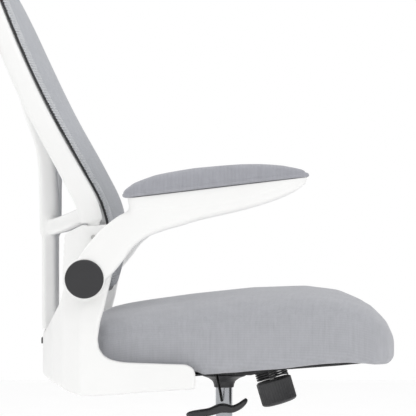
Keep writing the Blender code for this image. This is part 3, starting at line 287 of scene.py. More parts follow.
finishSet = {
    "white": (0.88, 0.88, 0.872),
    "cloth": (0.352, 0.357, 0.392),
    "seat": (0.415, 0.421, 0.45),
    "net": (0.45, 0.465, 0.5),
    "black": (0.022, 0.022, 0.024),
    "cap": (0.02, 0.02, 0.022),
    "knob": (0.05, 0.05, 0.053),
    "wheel": (0.03, 0.03, 0.032),
}
whitePlastic = mouldedPlastic("whitePlastic", finishSet["white"], 0.36, 900.0, 0.0001, 0.015)
blackPlastic = mouldedPlastic("blackPlastic", finishSet["black"], 0.45, 700.0, 0.00025, 0.2)
capPlastic = mouldedPlastic("capPlastic", finishSet["cap"], 0.4, 1200.0, 0.0001, 0.12)
knobPlastic = mouldedPlastic("knobPlastic", finishSet["knob"], 0.5, 800.0, 0.0002, 0.15)
wheelNylon = mouldedPlastic("wheelNylon", finishSet["wheel"], 0.42, 600.0, 0.0002, 0.2)
padCloth = wovenCloth("padCloth", finishSet["cloth"], 0.0021, 0.0019, 260.0, 0.0005)
seatCloth = wovenCloth("seatCloth", finishSet["seat"], 0.0019, 0.0038, 420.0, 0.0006)
backNet = stretchedNet("backNet", finishSet["net"], 0.0028, 0.3, 0.014)
chromeSteel = brushedMetal("chromeSteel", (0.4, 0.41, 0.43), 0.16, 90.0, (1, 1, 0.1))
zincSteel = brushedMetal("zincSteel", (0.5, 0.5, 0.49), 0.36, 240.0)
blackSteel = brushedMetal("blackSteel", (0.05, 0.05, 0.052), 0.34, 300.0)
boardPly = plyBoard("boardPly", (0.46, 0.32, 0.19))
floorFinish = mouldedPlastic("floorFinish", viewSet["floor"], 0.6, 20.0, 0.0001, 0.01)
floorShader = floorFinish.node_tree.nodes["Principled BSDF"]
floorShader.inputs["Emission Color"].default_value = (1, 1, 1, 1)
floorShader.inputs["Emission Strength"].default_value = 0.2
print("materials made")

# Mesh tools

def makeObject(name, bm, material, smoothAngle=None):
    mesh = bpy.data.meshes.new(name)
    bm.to_mesh(mesh)
    bm.free()
    made = bpy.data.objects.new(name, mesh)
    bpy.context.scene.collection.objects.link(made)
    mesh.materials.append(material)
    mesh.shade_smooth()
    if smoothAngle:
        mesh.set_sharp_from_angle(angle=math.radians(smoothAngle))
    return made


def place(piece, body, slot, *nodes):
    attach(piece, body)
    if nodes:
        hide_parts(*nodes)
    return piece


def applied(obj):
    # the object's mesh with its modifiers worked in
    graph = bpy.context.evaluated_depsgraph_get()
    graph.update()
    mesh = bpy.data.meshes.new_from_object(obj.evaluated_get(graph))
    obj.modifiers.clear()
    old = obj.data
    obj.data = mesh
    bpy.data.meshes.remove(old)
    mesh.name = obj.name
    mesh.shade_smooth()
    return obj


def copyOf(node, name, material):
    bm = bmesh.new()
    bm.from_mesh(bpy.data.objects[node].data)
    bmesh.ops.remove_doubles(bm, verts=bm.verts, dist=1e-5)
    return makeObject(name, bm, material)


def remeshed(obj, voxel, smoothing):
    # fuses and rounds a body; smoothing is how many passes
    grid = obj.modifiers.new("voxels", "REMESH")
    grid.mode = "VOXEL"
    grid.voxel_size = voxel
    grid.use_smooth_shade = True
    if smoothing:
        even = obj.modifiers.new("even", "CORRECTIVE_SMOOTH")
        even.smooth_type = "LENGTH_WEIGHTED"
        even.use_only_smooth = True
        even.iterations = smoothing
        even.factor = 0.5
    return applied(obj)


def cutBy(obj, bm):
    cutter = makeObject("cutter", bm, obj.data.materials[0])
    hole = obj.modifiers.new("hole", "BOOLEAN")
    hole.operation = "DIFFERENCE"
    hole.solver = "EXACT"
    hole.object = cutter
    applied(obj)
    bpy.data.objects.remove(cutter, do_unlink=True)
    return obj


def rodBody(bm, start, end, radius, sides=48):
    start, end = Vector(start), Vector(end)
    turn = (end - start).to_track_quat("Z", "Y").to_matrix().to_4x4()
    bmesh.ops.create_cone(bm, cap_ends=True, segments=sides, radius1=radius, radius2=radius,
                          depth=(end - start).length, matrix=Matrix.Translation((start + end) / 2) @ turn)
    return bm


def curveValue(knots, at):
    at = min(max(at, knots[0][0]), knots[-1][0])
    last = len(knots) - 1
    i = max(k for k in range(last) if knots[k][0] <= at)

    def slope(k):
        a, b = knots[max(k - 1, 0)], knots[min(k + 1, last)]
        return (b[1] - a[1]) / (b[0] - a[0])

    span = knots[i + 1][0] - knots[i][0]
    t = (at - knots[i][0]) / span
    start = (2 * t**3 - 3 * t**2 + 1) * knots[i][1] + (t**3 - 2 * t**2 + t) * span * slope(i)
    return start + (3 * t**2 - 2 * t**3) * knots[i + 1][1] + (t**3 - t**2) * span * slope(i + 1)


def smoothStep(low, high, value):
    t = min(max((value - low) / (high - low), 0), 1)
    return t * t * (3 - 2 * t)


def throughStations(stations, count):
    # evenly spread rows of values on a smooth run through the given rows; the first three are a place
    runs = [0.0]
    for a, b in zip(stations, stations[1:]):
        runs.append(runs[-1] + (Vector(b[:3]) - Vector(a[:3])).length)
    columns = [list(zip(runs, column)) for column in zip(*stations)]
    return [[curveValue(knots, runs[-1] * i / (count - 1)) for knots in columns] for i in range(count)]


def sectionFrame(centre, across, up, width, height):
    # unit section to world: its X lies across, its Y up
    along = across.cross(up)
    turn = Matrix((across * width, up * height, along)).transposed().to_4x4()
    return Matrix.Translation(centre) @ turn


def sweptBody(bm, frames, corner, steps=4, closed=False):
    # a rounded section carried from frame to frame
    made = bmesh.ops.create_grid(bm, x_segments=1, y_segments=1, size=0.5)
    bmesh.ops.bevel(bm, geom=made["verts"], offset=corner, affect="VERTICES", segments=steps, profile=0.5,
                    material=-1)
    face = [f for f in bm.faces if not any(len(e.link_faces) > 1 for e in f.edges)][-1]
    first, before = face, frames[0]
    bmesh.ops.transform(bm, matrix=before, verts=face.verts)
    for now in frames[1:]:
        grown = bmesh.ops.extrude_face_region(bm, geom=[face])["geom"]
        verts = [item for item in grown if isinstance(item, bmesh.types.BMVert)]
        face = [item for item in grown if isinstance(item, bmesh.types.BMFace)][0]
        bmesh.ops.transform(bm, matrix=now @ before.inverted(), verts=verts)
        before = now
    if closed:
        rims = list(first.edges) + list(face.edges)
        bmesh.ops.delete(bm, geom=[first, face], context="FACES_ONLY")
        bmesh.ops.bridge_loops(bm, edges=rims)
    return bm


def spunPiece(name, profile, seat, material, steps=72, smoothAngle=35):
    # a profile of (radius, height) turned round the seat's Z
    bm = bmesh.new()
    verts = [bm.verts.new((radius, 0, height)) for radius, height in profile]
    edges = [bm.edges.new(pair) for pair in zip(verts, verts[1:])]
    bmesh.ops.spin(bm, geom=verts + edges, cent=(0, 0, 0), axis=(0, 0, 1), angle=2 * math.pi, steps=steps,
                   use_merge=True)
    bmesh.ops.remove_doubles(bm, verts=bm.verts, dist=1e-6)
    bmesh.ops.recalc_face_normals(bm, faces=bm.faces)
    bmesh.ops.transform(bm, matrix=seat, verts=bm.verts)
    return makeObject(name, bm, material, smoothAngle)


print("tools ready")

# Back: rails, fork and spine in one moulding, with the net stretched on its carrier

backSet = {
    "bottom": 0.512, "top": 1.036, "half": 0.212, "bow": 0.012, "bulge": 0.010, "power": 0.35,
    "railWidth": 0.022, "railSetback": 0.0041, "railStart": 0.6225, "ribs": 5,
    "line": [(0.500, -0.150), (0.527, -0.1415), (0.590, -0.135), (0.645, -0.144), (0.698, -0.1695),
             (0.793, -0.222), (0.867, -0.258), (0.965, -0.302), (1.040, -0.338), (1.300, -0.463)],
    # half widths, by share of the back's height
    "rails": [(0.0, 0.211), (0.244, 0.213), (0.359, 0.2125), (0.55, 0.214), (0.74, 0.209), (1.0, 0.185)],
    "carrier": [(0.0, 0.1652), (0.092, 0.172), (0.206, 0.188), (0.359, 0.2105), (0.55, 0.214), (0.74, 0.209),
                (1.0, 0.185)],
    "spine": (-0.249, -0.223, 0.036, 0.4403, 0.665),
}


def lineX(z):
    return curveValue(backSet["line"], z)


def facing(z):
    return Vector((1, 0, -(lineX(z + 0.005) - lineX(z - 0.005)) / 0.01)).normalized()


def rimPoint(widths, angle, share=1.0, lift=0.0):
    # a place on the back's outline, or share of the way out to it
    middle, half = (backSet["top"] + backSet["bottom"]) / 2, (backSet["top"] - backSet["bottom"]) / 2
    c, s = math.cos(angle), math.sin(angle)
    z = middle + half * math.copysign(abs(s) ** backSet["power"], s)
    y = curveValue(widths, (z - backSet["bottom"]) / (2 * half)) * math.copysign(abs(c) ** backSet["power"],
                                                                                 c) * share
    z = middle + (z - middle) * share
    bow = backSet["bow"] * max(1 - (y / backSet["half"]) ** 2, 0)
    return Vector((lineX(z) + bow + lift, y, z))


def backLoop(widths, start, end, count, closed=False):
    fine = [rimPoint(widths, start + (end - start) * i / 1600) for i in range(1601)]
    runs = [0.0]
    for a, b in zip(fine, fine[1:]):
        runs.append(runs[-1] + (b - a).length)
    points, k = [], 0
    for i in range(count):
        goal = runs[-1] * i / (count if closed else count - 1)
        while k < 1599 and runs[k + 1] < goal:
            k += 1
        points.append(fine[k].lerp(fine[k + 1], (goal - runs[k]) / max(runs[k + 1] - runs[k], 1e-9)))
    return points


def alongPath(points, outward, width, depth, closed=False):
    frames = []
    for i, point in enumerate(points):
        behind = points[i - 1] if closed or i else point
        ahead = points[(i + 1) % len(points)] if closed or i + 1 < len(points) else point
        run = (ahead - behind).normalized()
        out = Vector(outward(point))
        out = (out - out.project(run)).normalized()
        frames.append(sectionFrame(point, run.cross(out), out, width(point), depth(point)))
    return frames


def makeBackFrame():
    half, middle = (backSet["top"] - backSet["bottom"]) / 2, (backSet["top"] + backSet["bottom"]) / 2
    low = math.asin(((middle - backSet["railStart"]) / half) ** (1 / backSet["power"]))

    def railDepth(point):
        return 0.036 - 0.006 * min(max((point.z - 0.62) / 0.38, 0), 1)

    bm = bmesh.new()
    loop = backLoop(backSet["rails"], math.pi + low, -low, 150)
    path = [p - facing(p.z) * (backSet["railSetback"] + railDepth(p) / 2) for p in loop]
    sweptBody(bm, alongPath(path, lambda p: facing(p.z), lambda p: backSet["railWidth"], railDepth), 0.32)
    rear, front, wide, bottom, top = backSet["spine"]
    spineX = (rear + front) / 2
    for side in (-1, 1):
        fork = throughStations([
            (spineX, side * 0.014, 0.600), (spineX, side * 0.046, 0.660), (-0.2390, side * 0.108, 0.735),
            (-0.2580, side * 0.166, 0.800), (-0.2760, side * 0.2085, 0.866)], 60)
        fork = [Vector(row) for row in fork]
        sweptBody(bm, alongPath(fork, lambda p: (1, 0, 0), lambda p: 0.026,
                                lambda p: 0.034 - 0.010 * (p.z - 0.6) / 0.27), 0.3)
        bmesh.ops.create_cube(bm, size=1, matrix=Matrix.Translation((-0.1565, side * 0.2115, 0.602))
                              @ Matrix.Diagonal((0.018, 0.012, 0.036, 1)))
    tie = throughStations([
        (-0.1640, -0.2085, 0.634), (-0.1900, -0.165, 0.622), (-0.2180, -0.100, 0.612), (spineX, 0, 0.609),
        (-0.2180, 0.100, 0.612), (-0.1900, 0.165, 0.622), (-0.1640, 0.2085, 0.634)], 90)
    tie = [Vector(row) for row in tie]
    sweptBody(bm, alongPath(tie, lambda p: (1, 0, 0), lambda p: 0.026, lambda p: 0.016), 0.3)
    levels = [bottom + (top - bottom) * i / 12 for i in range(13)]
    sweptBody(bm, [sectionFrame(Vector((spineX, 0, z)), Vector((1, 0, 0)), Vector((0, 1, 0)), front - rear,
                                2 * wide)
                   for z in levels], 0.22)
    bmesh.ops.create_cube(bm, size=1, matrix=Matrix.Translation((spineX, 0, 0.4288))
                          @ Matrix.Diagonal((0.012, 0.044, 0.045, 1)))
    bmesh.ops.recalc_face_normals(bm, faces=bm.faces)
    shell = remeshed(makeObject("backMoulding", bm, whitePlastic), 0.0024, 5)
    grooves = bmesh.new()
    for i in range(backSet["ribs"]):
        y = (i - (backSet["ribs"] - 1) / 2) * 0.0115
        for x in (rear, front):
            rodBody(grooves, (x, y, 0.470), (x, y, 0.585), 0.0016, 12)
    cutBy(shell, grooves)
    holes = bmesh.new()
    for y in (-0.012, 0.012):
        rodBody(holes, (spineX - 0.03, y, 0.422), (spineX + 0.03, y, 0.422), 0.0028, 16)
    for side in (-1, 1):
        rodBody(holes, (-0.1565, side * 0.19, 0.594), (-0.1565, side * 0.23, 0.594), 0.0023, 16)
    place(cutBy(shell, holes), "seat_frame", "white_plastic", "back_frame")


def makeCarrier():
    loop = backLoop(backSet["carrier"], 0, 2 * math.pi, 260, True)
    path = [p - facing(p.z) * 0.0012 for p in loop]
    bm = bmesh.new()
    sweptBody(bm, alongPath(path, lambda p: facing(p.z), lambda p: 0.014, lambda p: 0.005, True), 0.28, 3,
              True)
    bmesh.ops.recalc_face_normals(bm, faces=bm.faces)
    place(makeObject("netCarrier", bm, blackPlastic), "seat_frame", "black_plastic", "mesh_carrier")


def makeNet():
    # a square grid drawn out to the rim, then bulged; flatCut keeps the cloth's own flat places
    bm = bmesh.new()
    bmesh.ops.create_grid(bm, x_segments=88, y_segments=176, size=1)
    cut = bm.loops.layers.uv.new("flatCut")
    fromRim = bm.verts.layers.float.new("fromRim")
    middle = (backSet["top"] + backSet["bottom"]) / 2
    for vert in bm.verts:
        share = max(abs(vert.co.x), abs(vert.co.y))
        c, s = (vert.co.x / share, vert.co.y / share) if share > 1e-6 else (1, 0)
        sharp = 1 / backSet["power"]
        angle = math.atan2(math.copysign(abs(s) ** sharp, s), math.copysign(abs(c) ** sharp, c))
        vert.co = rimPoint(backSet["carrier"], angle, share, 0.0034 + backSet["bulge"] * (1 - share**4))
        if share > 0.999:
            # the hem turns back over the carrier's side
            vert.co.x -= 0.0030
            vert.co.y *= 1 + 0.0078 / 0.21
        vert[fromRim] = (1 - share) * 0.2
    for face in bm.faces:
        for loop in face.loops:
            spot = loop.vert.co
            loop[cut].uv = (spot.y, (spot.z - middle) * 1.13)
    bmesh.ops.recalc_face_normals(bm, faces=bm.faces)
    net = makeObject("backNet", bm, backNet)
    wall = net.modifiers.new("thread", "SOLIDIFY")
    wall.thickness = 0.0008
    wall.offset = 1
    place(net, "seat_frame", "grey_mesh", "back_mesh")


makeBackFrame()
makeCarrier()
makeNet()
print("back made")

# Lower frame, arms and their soft pads

armSet = {
    "pivot": (-0.168, 0.530), "inner": 0.2705, "wall": 0.030, "hub": 0.033, "cap": 0.030, "recess": 0.004,
    # the pad lies on a line at this place and slope, with its board in a pocket
    "padX": 0.035, "padY": 0.280, "padZ": 0.6711, "padSlope": 0.1172,
    "board": (0.2506, 0.0526, 0.018, 0.0031),
    # soft ridge under the tray: places along the arm and how far it steps out
    "ridge": [(-0.110, 0.630), (-0.083, 0.6386), (-0.019, 0.6386), (0.049, 0.6490), (0.106, 0.6625),
              (0.180, 0.690)],
    "ridgeStep": 0.0022,
    # upper edge x z, lower edge x z, width, middle in Y
    "stations": [
        (0.1790, 0.6930, 0.1745, 0.6765, 0.040, 0.280), (0.1610, 0.6925, 0.1560, 0.6640, 0.057, 0.280),
        (0.1200, 0.6875, 0.1200, 0.6490, 0.063, 0.280), (0.0600, 0.6805, 0.0720, 0.6350, 0.063, 0.280),
        (0.0000, 0.6735, 0.0150, 0.6220, 0.062, 0.280), (-0.0600, 0.6665, -0.0190, 0.6120, 0.060, 0.2805),
        (-0.1000, 0.6615, -0.0500, 0.6030, 0.054, 0.282), (-0.0990, 0.6380, -0.0760, 0.5920, 0.043, 0.2835),
        (-0.1165, 0.6270, -0.0940, 0.5770, 0.034, 0.2850), (-0.1425, 0.6060, -0.1080, 0.5580, 0.030, 0.2855),
        (-0.1655, 0.5795, -0.1250, 0.5380, 0.029, 0.2855), (-0.1850, 0.5500, -0.1450, 0.5200, 0.028, 0.2855),
    ],
}


def makeLowerFrame():
    shell = remeshed(copyOf("lower_frame", "lowerFrameMoulding", whitePlastic), 0.0025, 12)
    place(shell, "seat_frame", "white_plastic", "lower_frame")


def makeArm(side, name):
    pivotX, pivotZ = armSet["pivot"]
    face = armSet["inner"] + armSet["wall"]

    def hubRod(bm, near, far, radius, sides=64):
        return rodBody(bm, (pivotX, side * near, pivotZ), (pivotX, side * far, pivotZ), radius, sides)

    bm = bmesh.new()
    rows = throughStations([(a, 0, b, c, d, w, m) for a, b, c, d, w, m in armSet["stations"]], 80)
    frames = []
    for topX, _, topZ, lowX, lowZ, width, middle in rows:
        top, low = Vector((topX, 0, topZ)), Vector((lowX, 0, lowZ))
        up = (top - low).normalized()
        frames.append(sectionFrame((top + low) / 2 + Vector((0, side * middle, 0)), Vector((0, 1, 0)), up,
                                   width, (top - low).length))
    sweptBody(bm, frames, 0.24)
    hubRod(bm, armSet["inner"] + 0.0006, face - 0.0006, armSet["hub"] - 0.0006)
    bmesh.ops.recalc_face_normals(bm, faces=bm.faces)
    body = remeshed(makeObject("armMoulding_" + name, bm, whitePlastic), 0.002, 6)
    for vert in body.data.vertices:
        # the tray stands out above its ridge
        out = vert.co.y - side * armSet["padY"]
        above = smoothStep(-0.003, 0.003, vert.co.z - curveValue(armSet["ridge"], vert.co.x))
        share = smoothStep(0.012, 0.024, abs(out)) * smoothStep(-0.105, -0.085, vert.co.x)
        vert.co.y += math.copysign(armSet["ridgeStep"] * above * share, out)
    cuts = bmesh.new()
    hubRod(cuts, face - armSet["recess"], 0.4, armSet["cap"] + 0.0003)
    cutBy(body, cuts)
    length, width, corner, deep = armSet["board"]
    padPlane = (Matrix.Translation((armSet["padX"], side * armSet["padY"], armSet["padZ"]))
                @ Matrix.Rotation(-math.atan(armSet["padSlope"]), 4, "Y"))
    cuts = bmesh.new()
    bmesh.ops.create_cube(cuts, size=1, matrix=padPlane @ Matrix.Translation((0, 0, 0.02 - 0.0003))
                          @ Matrix.Diagonal((0.4, 0.2, 0.04, 1)))
    cutBy(body, cuts)
    cuts = bmesh.new()
    bmesh.ops.create_cube(cuts, size=1, matrix=Matrix.Translation((0, 0, 0.005 - deep / 2))
                                   @ Matrix.Diagonal((length, width, deep + 0.010, 1)))
    upright = [e for e in cuts.edges if abs(e.verts[0].co.z - e.verts[1].co.z) > deep]
    bmesh.ops.bevel(cuts, geom=upright, offset=corner, affect="EDGES", segments=5, profile=0.5, material=-1)
    bmesh.ops.transform(cuts, matrix=padPlane, verts=cuts.verts)
    cutBy(body, cuts)
    cuts = bmesh.new()
    hubRod(cuts, armSet["inner"] + 0.018, 0.4, 0.0125, 32)
    cutBy(body, cuts)
    cuts = bmesh.new()
    hubRod(cuts, 0.2, 0.4, 0.0066, 32)
    body = cutBy(body, cuts)
    body.data.set_sharp_from_angle(angle=math.radians(50))
    place(body, "arm_" + name, "white_plastic", "arm_body_" + name)

    low, high = face - armSet["recess"] + 0.0003, face + 0.0035
    out = armSet["cap"]
    profile = [(0, low), (out, low), (out, high - 0.0032)]
    profile += [(out - 0.0034 * (1 - math.cos(a)), high - 0.0032 + 0.0032 * math.sin(a))
                for a in (math.radians(15 * i) for i in range(1, 7))]
    profile += [(out * 0.6, high - 0.0002), (0, high - 0.0006)]
    seat = Matrix.Translation((pivotX, 0, pivotZ)) @ Matrix.Rotation(-side * math.pi / 2, 4, "X")
    cap = spunPiece("pivotCap_" + name, profile, seat, capPlastic, 96, 40)
    place(cap, "arm_" + name, "black_plastic", "arm_cap_" + name)


def inflated(obj, voxel, pressure, cap, free, thick):
    # cloth fills the pad; cap is the most a point moves, free(point) how much of that it may use
    remeshed(obj, voxel, 3)
    start = [v.co.copy() for v in obj.data.vertices]
    cloth = obj.modifiers.new("fill", "CLOTH")
    cloth.settings.use_pressure = True
    cloth.settings.uniform_pressure_force = pressure
    cloth.settings.effector_weights.gravity = 0
    cloth.settings.quality = 4
    cloth.settings.tension_stiffness = 30
    cloth.settings.bending_stiffness = 6
    cloth.point_cache.frame_start, cloth.point_cache.frame_end = 1, 20
    scene = bpy.context.scene
    for step in range(1, 21):
        scene.frame_set(step)
    applied(obj)
    scene.frame_set(1)
    for vert, origin in zip(obj.data.vertices, start):
        moved = vert.co - origin
        if moved.length > cap:
            moved = moved.normalized() * cap
        vert.co = origin + moved * free(origin) + thick(origin)
    finer = obj.modifiers.new("finer", "SUBSURF")
    finer.levels = finer.render_levels = 1
    return applied(obj)


def pressed(obj, groove):
    # sinks a seam: groove(point) is how deep, along the surface's own normal
    depths = [(v, groove(v.co)) for v in obj.data.vertices]
    normals = [v.normal.copy() for v in obj.data.vertices]
    for vert, depth in depths:
        if depth:
            vert.co -= normals[vert.index] * depth
    obj.data.update()
    return obj


def bell(value, centre, width):
    return math.exp(-((value - centre) / width) ** 2)


padSet = {"slope": 0.1172, "low": 0.6595, "lowX": -0.0643, "voxel": 0.0032, "pressure": 4, "cap": 0.004,
          "seamHeight": 0.0085, "seamDepth": 0.0011}


def makeArmPad(name):
    def rise(point):
        return point.z - padSet["low"] - padSet["slope"] * (point.x - padSet["lowX"])

    pad = copyOf("arm_pad_" + name, "armCushion_" + name, padCloth)
    inflated(pad, padSet["voxel"], padSet["pressure"], padSet["cap"],
             lambda p: smoothStep(0.003, 0.014, rise(p)),
             lambda p: Vector((0, 0, 0)))
    seam = padSet["seamHeight"]
    pressed(pad, lambda p: padSet["seamDepth"] * bell(rise(p), seam, 0.0012))
    place(pad, "arm_" + name, "grey_fabric", "arm_pad_" + name)


seatSet = {"voxel": 0.0058, "pressure": 4, "cap": 0.022, "slope": math.tan(math.radians(4.2)), "base": 0.40,
           "baseX": 0.05, "wrap": 0.0085, "creaseHeight": 0.056, "creaseDepth": 0.0036}


def makeSeat():
    def rise(point):
        return point.z - seatSet["base"] - seatSet["slope"] * (point.x - seatSet["baseX"])

    def crease(point):
        away = max(abs(point.y) / 0.25, 0)
        side = smoothStep(0.86, 0.97, away) * (1 - smoothStep(-0.02, 0.06, point.x))
        return seatSet["creaseDepth"] * side * bell(rise(point), seatSet["creaseHeight"], 0.0065)

    def lowered(point):
        # the cover's edge wraps down over the pan's rim
        edge = smoothStep(0.220, 0.232, abs(point.y)) * smoothStep(0.004, 0.016, point.x)
        edge *= 1 - 0.45 * smoothStep(0.12, 0.22, point.x)
        return Vector((0, 0, -seatSet["wrap"] * edge * (1 - smoothStep(-0.020, 0.020, rise(point)))))

    seat = copyOf("seat_cushion", "seatCushion", seatCloth)
    inflated(seat, seatSet["voxel"], seatSet["pressure"], seatSet["cap"],
             lambda p: 0.25 * smoothStep(0.030, 0.075, rise(p)), lowered)
    pressed(seat, crease)
    place(seat, "seat_frame", "grey_fabric", "seat_cushion")


makeLowerFrame()
print("lower frame made")
for side, name in ((1, "left"), (-1, "right")):
    makeArm(side, name)
    makeArmPad(name)
print("arms made")
makeSeat()
print("seat made")

# Lift, mechanism, lever and knob

liftSet = {"x": 0.05, "column": 0.025, "inner": 0.0215, "columnLow": 0.045, "columnTop": 0.285,
           "pocketLow": 0.3714, "pocketTop": 0.383, "pocketRadius": 0.005}
knobSet = {"x": 0.1309, "z": 0.3583, "slant": 16.5, "radius": 0.0295, "length": 0.0415, "ribs": 40,
           "ribDepth": 0.0009,
           "springRadius": 0.0270, "wire": 0.0032, "turns": 8, "springLength": 0.0345}


def makeLift():
    seat = Matrix.Translation((liftSet["x"], 0, 0))
    r, top, low, inner = liftSet["column"], liftSet["columnTop"], liftSet["columnLow"], liftSet["inner"]
    column = [(inner, top - 0.001), (inner + 0.001, top), (r - 0.0015, top), (r - 0.0004, top - 0.0005),
              (r, top - 0.0018),
              (r, low + 0.001), (r - 0.001, low), (0.0056, low), (0.0056, low + 0.005), (inner, low + 0.005),
              (inner, top - 0.001)]
    place(spunPiece("columnTube", column, seat, blackSteel), "base", "black_plastic", "lift_column")
    bushLow, bushTop, out, within = 0.200, 0.287, 0.0212, 0.0143
    bush = [(within, bushLow), (out, bushLow), (out, bushTop - 0.0015), (out - 0.0015, bushTop),
            (within + 0.001, bushTop),
            (within, bushTop - 0.001), (within, bushLow)]
    place(spunPiece("columnBush", bush, seat, blackPlastic), "base", "black_plastic", "guide_bush")


def makeSpring(seat):
    # a coil of round wire, its wire ends capped
    curve = bpy.data.curves.new("coil", "CURVE")
    curve.dimensions = "3D"
    curve.bevel_depth = knobSet["wire"] / 2
    curve.bevel_resolution = 3
    curve.use_fill_caps = True
    count = knobSet["turns"] * 32
    radius = knobSet["springRadius"] - knobSet["wire"] / 2
    rise = knobSet["springLength"] - knobSet["wire"] - 0.0006
    spline = curve.splines.new("POLY")
    spline.points.add(count)
    for i, point in enumerate(spline.points):
        turn = 2 * math.pi * knobSet["turns"] * i / count
        spot = Vector((radius * math.cos(turn), radius * math.sin(turn),
                       knobSet["wire"] / 2 + 0.0003 + rise * i / count))
        point.co = (*(seat @ spot), 1)
    shape = bpy.data.objects.new("coil", curve)
    bpy.context.scene.collection.objects.link(shape)
    mesh = bpy.data.meshes.new_from_object(shape.evaluated_get(bpy.context.evaluated_depsgraph_get()))
    bpy.data.objects.remove(shape, do_unlink=True)
    bm = bmesh.new()
    bm.from_mesh(mesh)
    bpy.data.meshes.remove(mesh)
    bmesh.ops.remove_doubles(bm, verts=bm.verts, dist=1e-6)
    bmesh.ops.recalc_face_normals(bm, faces=bm.faces)
    return makeObject("tensionCoil", bm, blackPlastic, 50)


def makeKnob():
    seat = (Matrix.Translation((knobSet["x"], 0, knobSet["z"]))
            @ Matrix.Rotation(-math.radians(knobSet["slant"]), 4, "Y"))
    r, top, low = knobSet["radius"], -0.0018, -knobSet["length"]
    profile = [(0.0056, top), (r - 0.0015, top), (r - 0.0004, top - 0.0004), (r, top - 0.0015),
               (r, top - 0.0040),
               (r, low + 0.0050), (r, low + 0.0040), (r - 0.0012, low + 0.0020), (r - 0.004, low + 0.0004),
               (r - 0.008, low - 0.0006), (0.010, low - 0.0016), (0, low - 0.0019), (0, -0.0240),
               (0.0056, -0.0240),
               (0.0056, top)]
    knob = spunPiece("tensionGrip", profile, Matrix.Identity(4), knobPlastic, 160, 40)
    for vert in knob.data.vertices:
        out = math.hypot(vert.co.x, vert.co.y)
        if out > r - 0.0003 and low + 0.0045 < vert.co.z < top - 0.0035:
            turn = math.atan2(vert.co.y, vert.co.x) * knobSet["ribs"]
            sink = 1 - knobSet["ribDepth"] / r * (0.5 - 0.5 * math.cos(turn))
            vert.co.x, vert.co.y = vert.co.x * sink, vert.co.y * sink
    knob.data.transform(seat)
    place(knob, "knob", "black_plastic", "tension_knob")
    coil = makeSpring(seat)
    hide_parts("tension_spring")
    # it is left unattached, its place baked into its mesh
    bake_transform(coil)


# place, width and thickness of the lever's paddle from its back tip to its front tip
paddleSet = [(-0.0105, -0.204, 0.3120, 0.010, 0.0050), (-0.0060, -0.205, 0.3135, 0.022, 0.0090),
             (0.0060, -0.206, 0.3150, 0.030, 0.0115), (0.0260, -0.206, 0.3180, 0.033, 0.0120),
             (0.0420, -0.206, 0.3235, 0.034, 0.0140), (0.0500, -0.206, 0.3240, 0.034, 0.0140),
             (0.0620, -0.206, 0.3225, 0.032, 0.0110), (0.0740, -0.205, 0.3275, 0.028, 0.0100),
             (0.0820, -0.204, 0.3345, 0.020, 0.0080), (0.0850, -0.203, 0.3385, 0.010, 0.0045)]


def makePaddle():
    rows = throughStations(paddleSet, 60)
    frames = []
    for i, (x, y, z, wide, thick) in enumerate(rows):
        behind, ahead = rows[max(i - 1, 0)], rows[min(i + 1, len(rows) - 1)]
        run = Vector((ahead[0] - behind[0], 0, ahead[2] - behind[2])).normalized()
        frames.append(sectionFrame(Vector((x, y, z)), Vector((0, 1, 0)), Vector((-run.z, 0, run.x)), wide,
                                   thick))
    bm = bmesh.new()
    sweptBody(bm, frames, 0.3)
    bmesh.ops.recalc_face_normals(bm, faces=bm.faces)
    paddle = remeshed(makeObject("leverPaddle", bm, blackPlastic), 0.0013, 6)
    cuts = bmesh.new()
    rodBody(cuts, (0.0420, -0.150, 0.3464), (0.0462, -0.1930, 0.3345), 0.0030, 24)
    place(cutBy(paddle, cuts), "lever", "black_plastic", "lever_paddle")


def rounded(node, name, material, voxel, smoothing, body, slot):
    place(remeshed(copyOf(node, name, material), voxel, smoothing), body, slot, node)


makeLift()
makeKnob()
tube = remeshed(copyOf("lift_tube", "chromeTube", chromeSteel), 0.0011, 4)
# room for the valve button, which sinks into the tube
pocketEnds = [(liftSet["x"], 0, liftSet[end]) for end in ("pocketLow", "pocketTop")]
cutBy(tube, rodBody(bmesh.new(), *pocketEnds, liftSet["pocketRadius"]))
place(tube, "mechanism", "chrome", "lift_tube")
rounded("taper_cup", "taperCollar", blackPlastic, 0.0012, 3, "mechanism", "black_plastic")
rounded("mechanism_housing", "tiltHousing", blackSteel, 0.0016, 2, "mechanism", "black_plastic")
rounded("lever_rod", "leverRod", blackSteel, 0.0009, 5, "lever", "black_plastic")
makePaddle()
print("mechanism made")

# Star base and casters

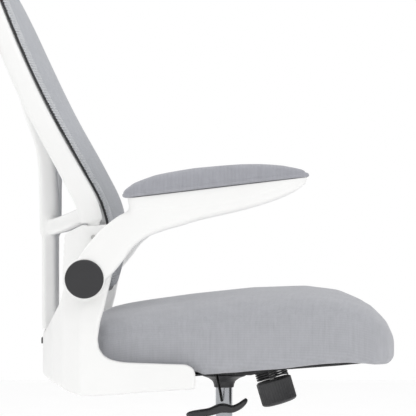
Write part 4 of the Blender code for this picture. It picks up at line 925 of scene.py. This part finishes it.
casterSet = {"count": 5, "reach": 0.29, "trail": 0.022, "radius": 0.0275, "sides": 20, "inner": 0.0062,
             "outer": 0.0245,
             "axle": 0.004}
rounded("base_spider", "starBase", whitePlastic, 0.0026, 8, "base", "white_plastic")


def makeWheels(index):
    angle = 2 * math.pi * (index - 1) / casterSet["count"]
    r, inner, outer, axle = (casterSet[key] for key in ("radius", "inner", "outer", "axle"))
    r *= math.cos(math.pi / casterSet["sides"])
    spot = (liftSet["x"] + casterSet["reach"] * math.cos(angle) - casterSet["trail"],
            casterSet["reach"] * math.sin(angle), r)
    half = [(0, outer - 0.0022), (0.0080, outer - 0.0022), (0.0090, outer - 0.0010), (0.0150, outer - 0.0003),
            (0.0165, outer - 0.0012), (0.0178, outer - 0.0003), (r - 0.0040, outer),
            (r - 0.0018, outer - 0.0010),
            (r - 0.0004, outer - 0.0032), (r, outer - 0.0060), (r, inner + 0.0025),
            (r - 0.0006, inner + 0.0008),
            (r - 0.002, inner), (axle, inner)]
    profile = half + [(radius, -height) for radius, height in reversed(half)]
    seat = Matrix.Translation(spot) @ Matrix.Rotation(math.pi / 2, 4, "X")
    wheels = spunPiece(f"twinWheels_{index}", profile, seat, wheelNylon, 64, 40)
    place(wheels, f"wheels_{index}", "black_plastic", f"caster_wheels_{index}")
    rounded(f"caster_fork_{index}", f"casterHousing_{index}", blackPlastic, 0.0011, 3, f"caster_{index}",
            "black_plastic")


for index in range(1, casterSet["count"] + 1):
    makeWheels(index)
print("base made")

# Pieces that keep their own shape

plainPieces = {
    zincSteel: ["thrust_bearing", "lift_rod", "column_clip", "tilt_pin", "valve_button", "tilt_plate",
                "tension_bolt",
                "socket_screw_left", "socket_screw_right", "plate_bolt_1", "plate_bolt_2", "plate_bolt_3",
                "plate_bolt_4", "foot_bolt_1",
                "foot_bolt_2", "foot_bolt_3", "foot_bolt_4", "arm_bolt_left", "arm_bolt_right"],
    blackSteel: ["spine_screw_1", "spine_screw_2"],
    blackPlastic: ["spring_washer", "seat_pan", "arm_board_left", "arm_board_right"],
    boardPly: ["seat_board"],
}
for material, nodes in plainPieces.items():
    for node in nodes:
        for slot in bpy.data.objects[node].material_slots:
            slot.material = material

makeStudio()
print("scene ready")
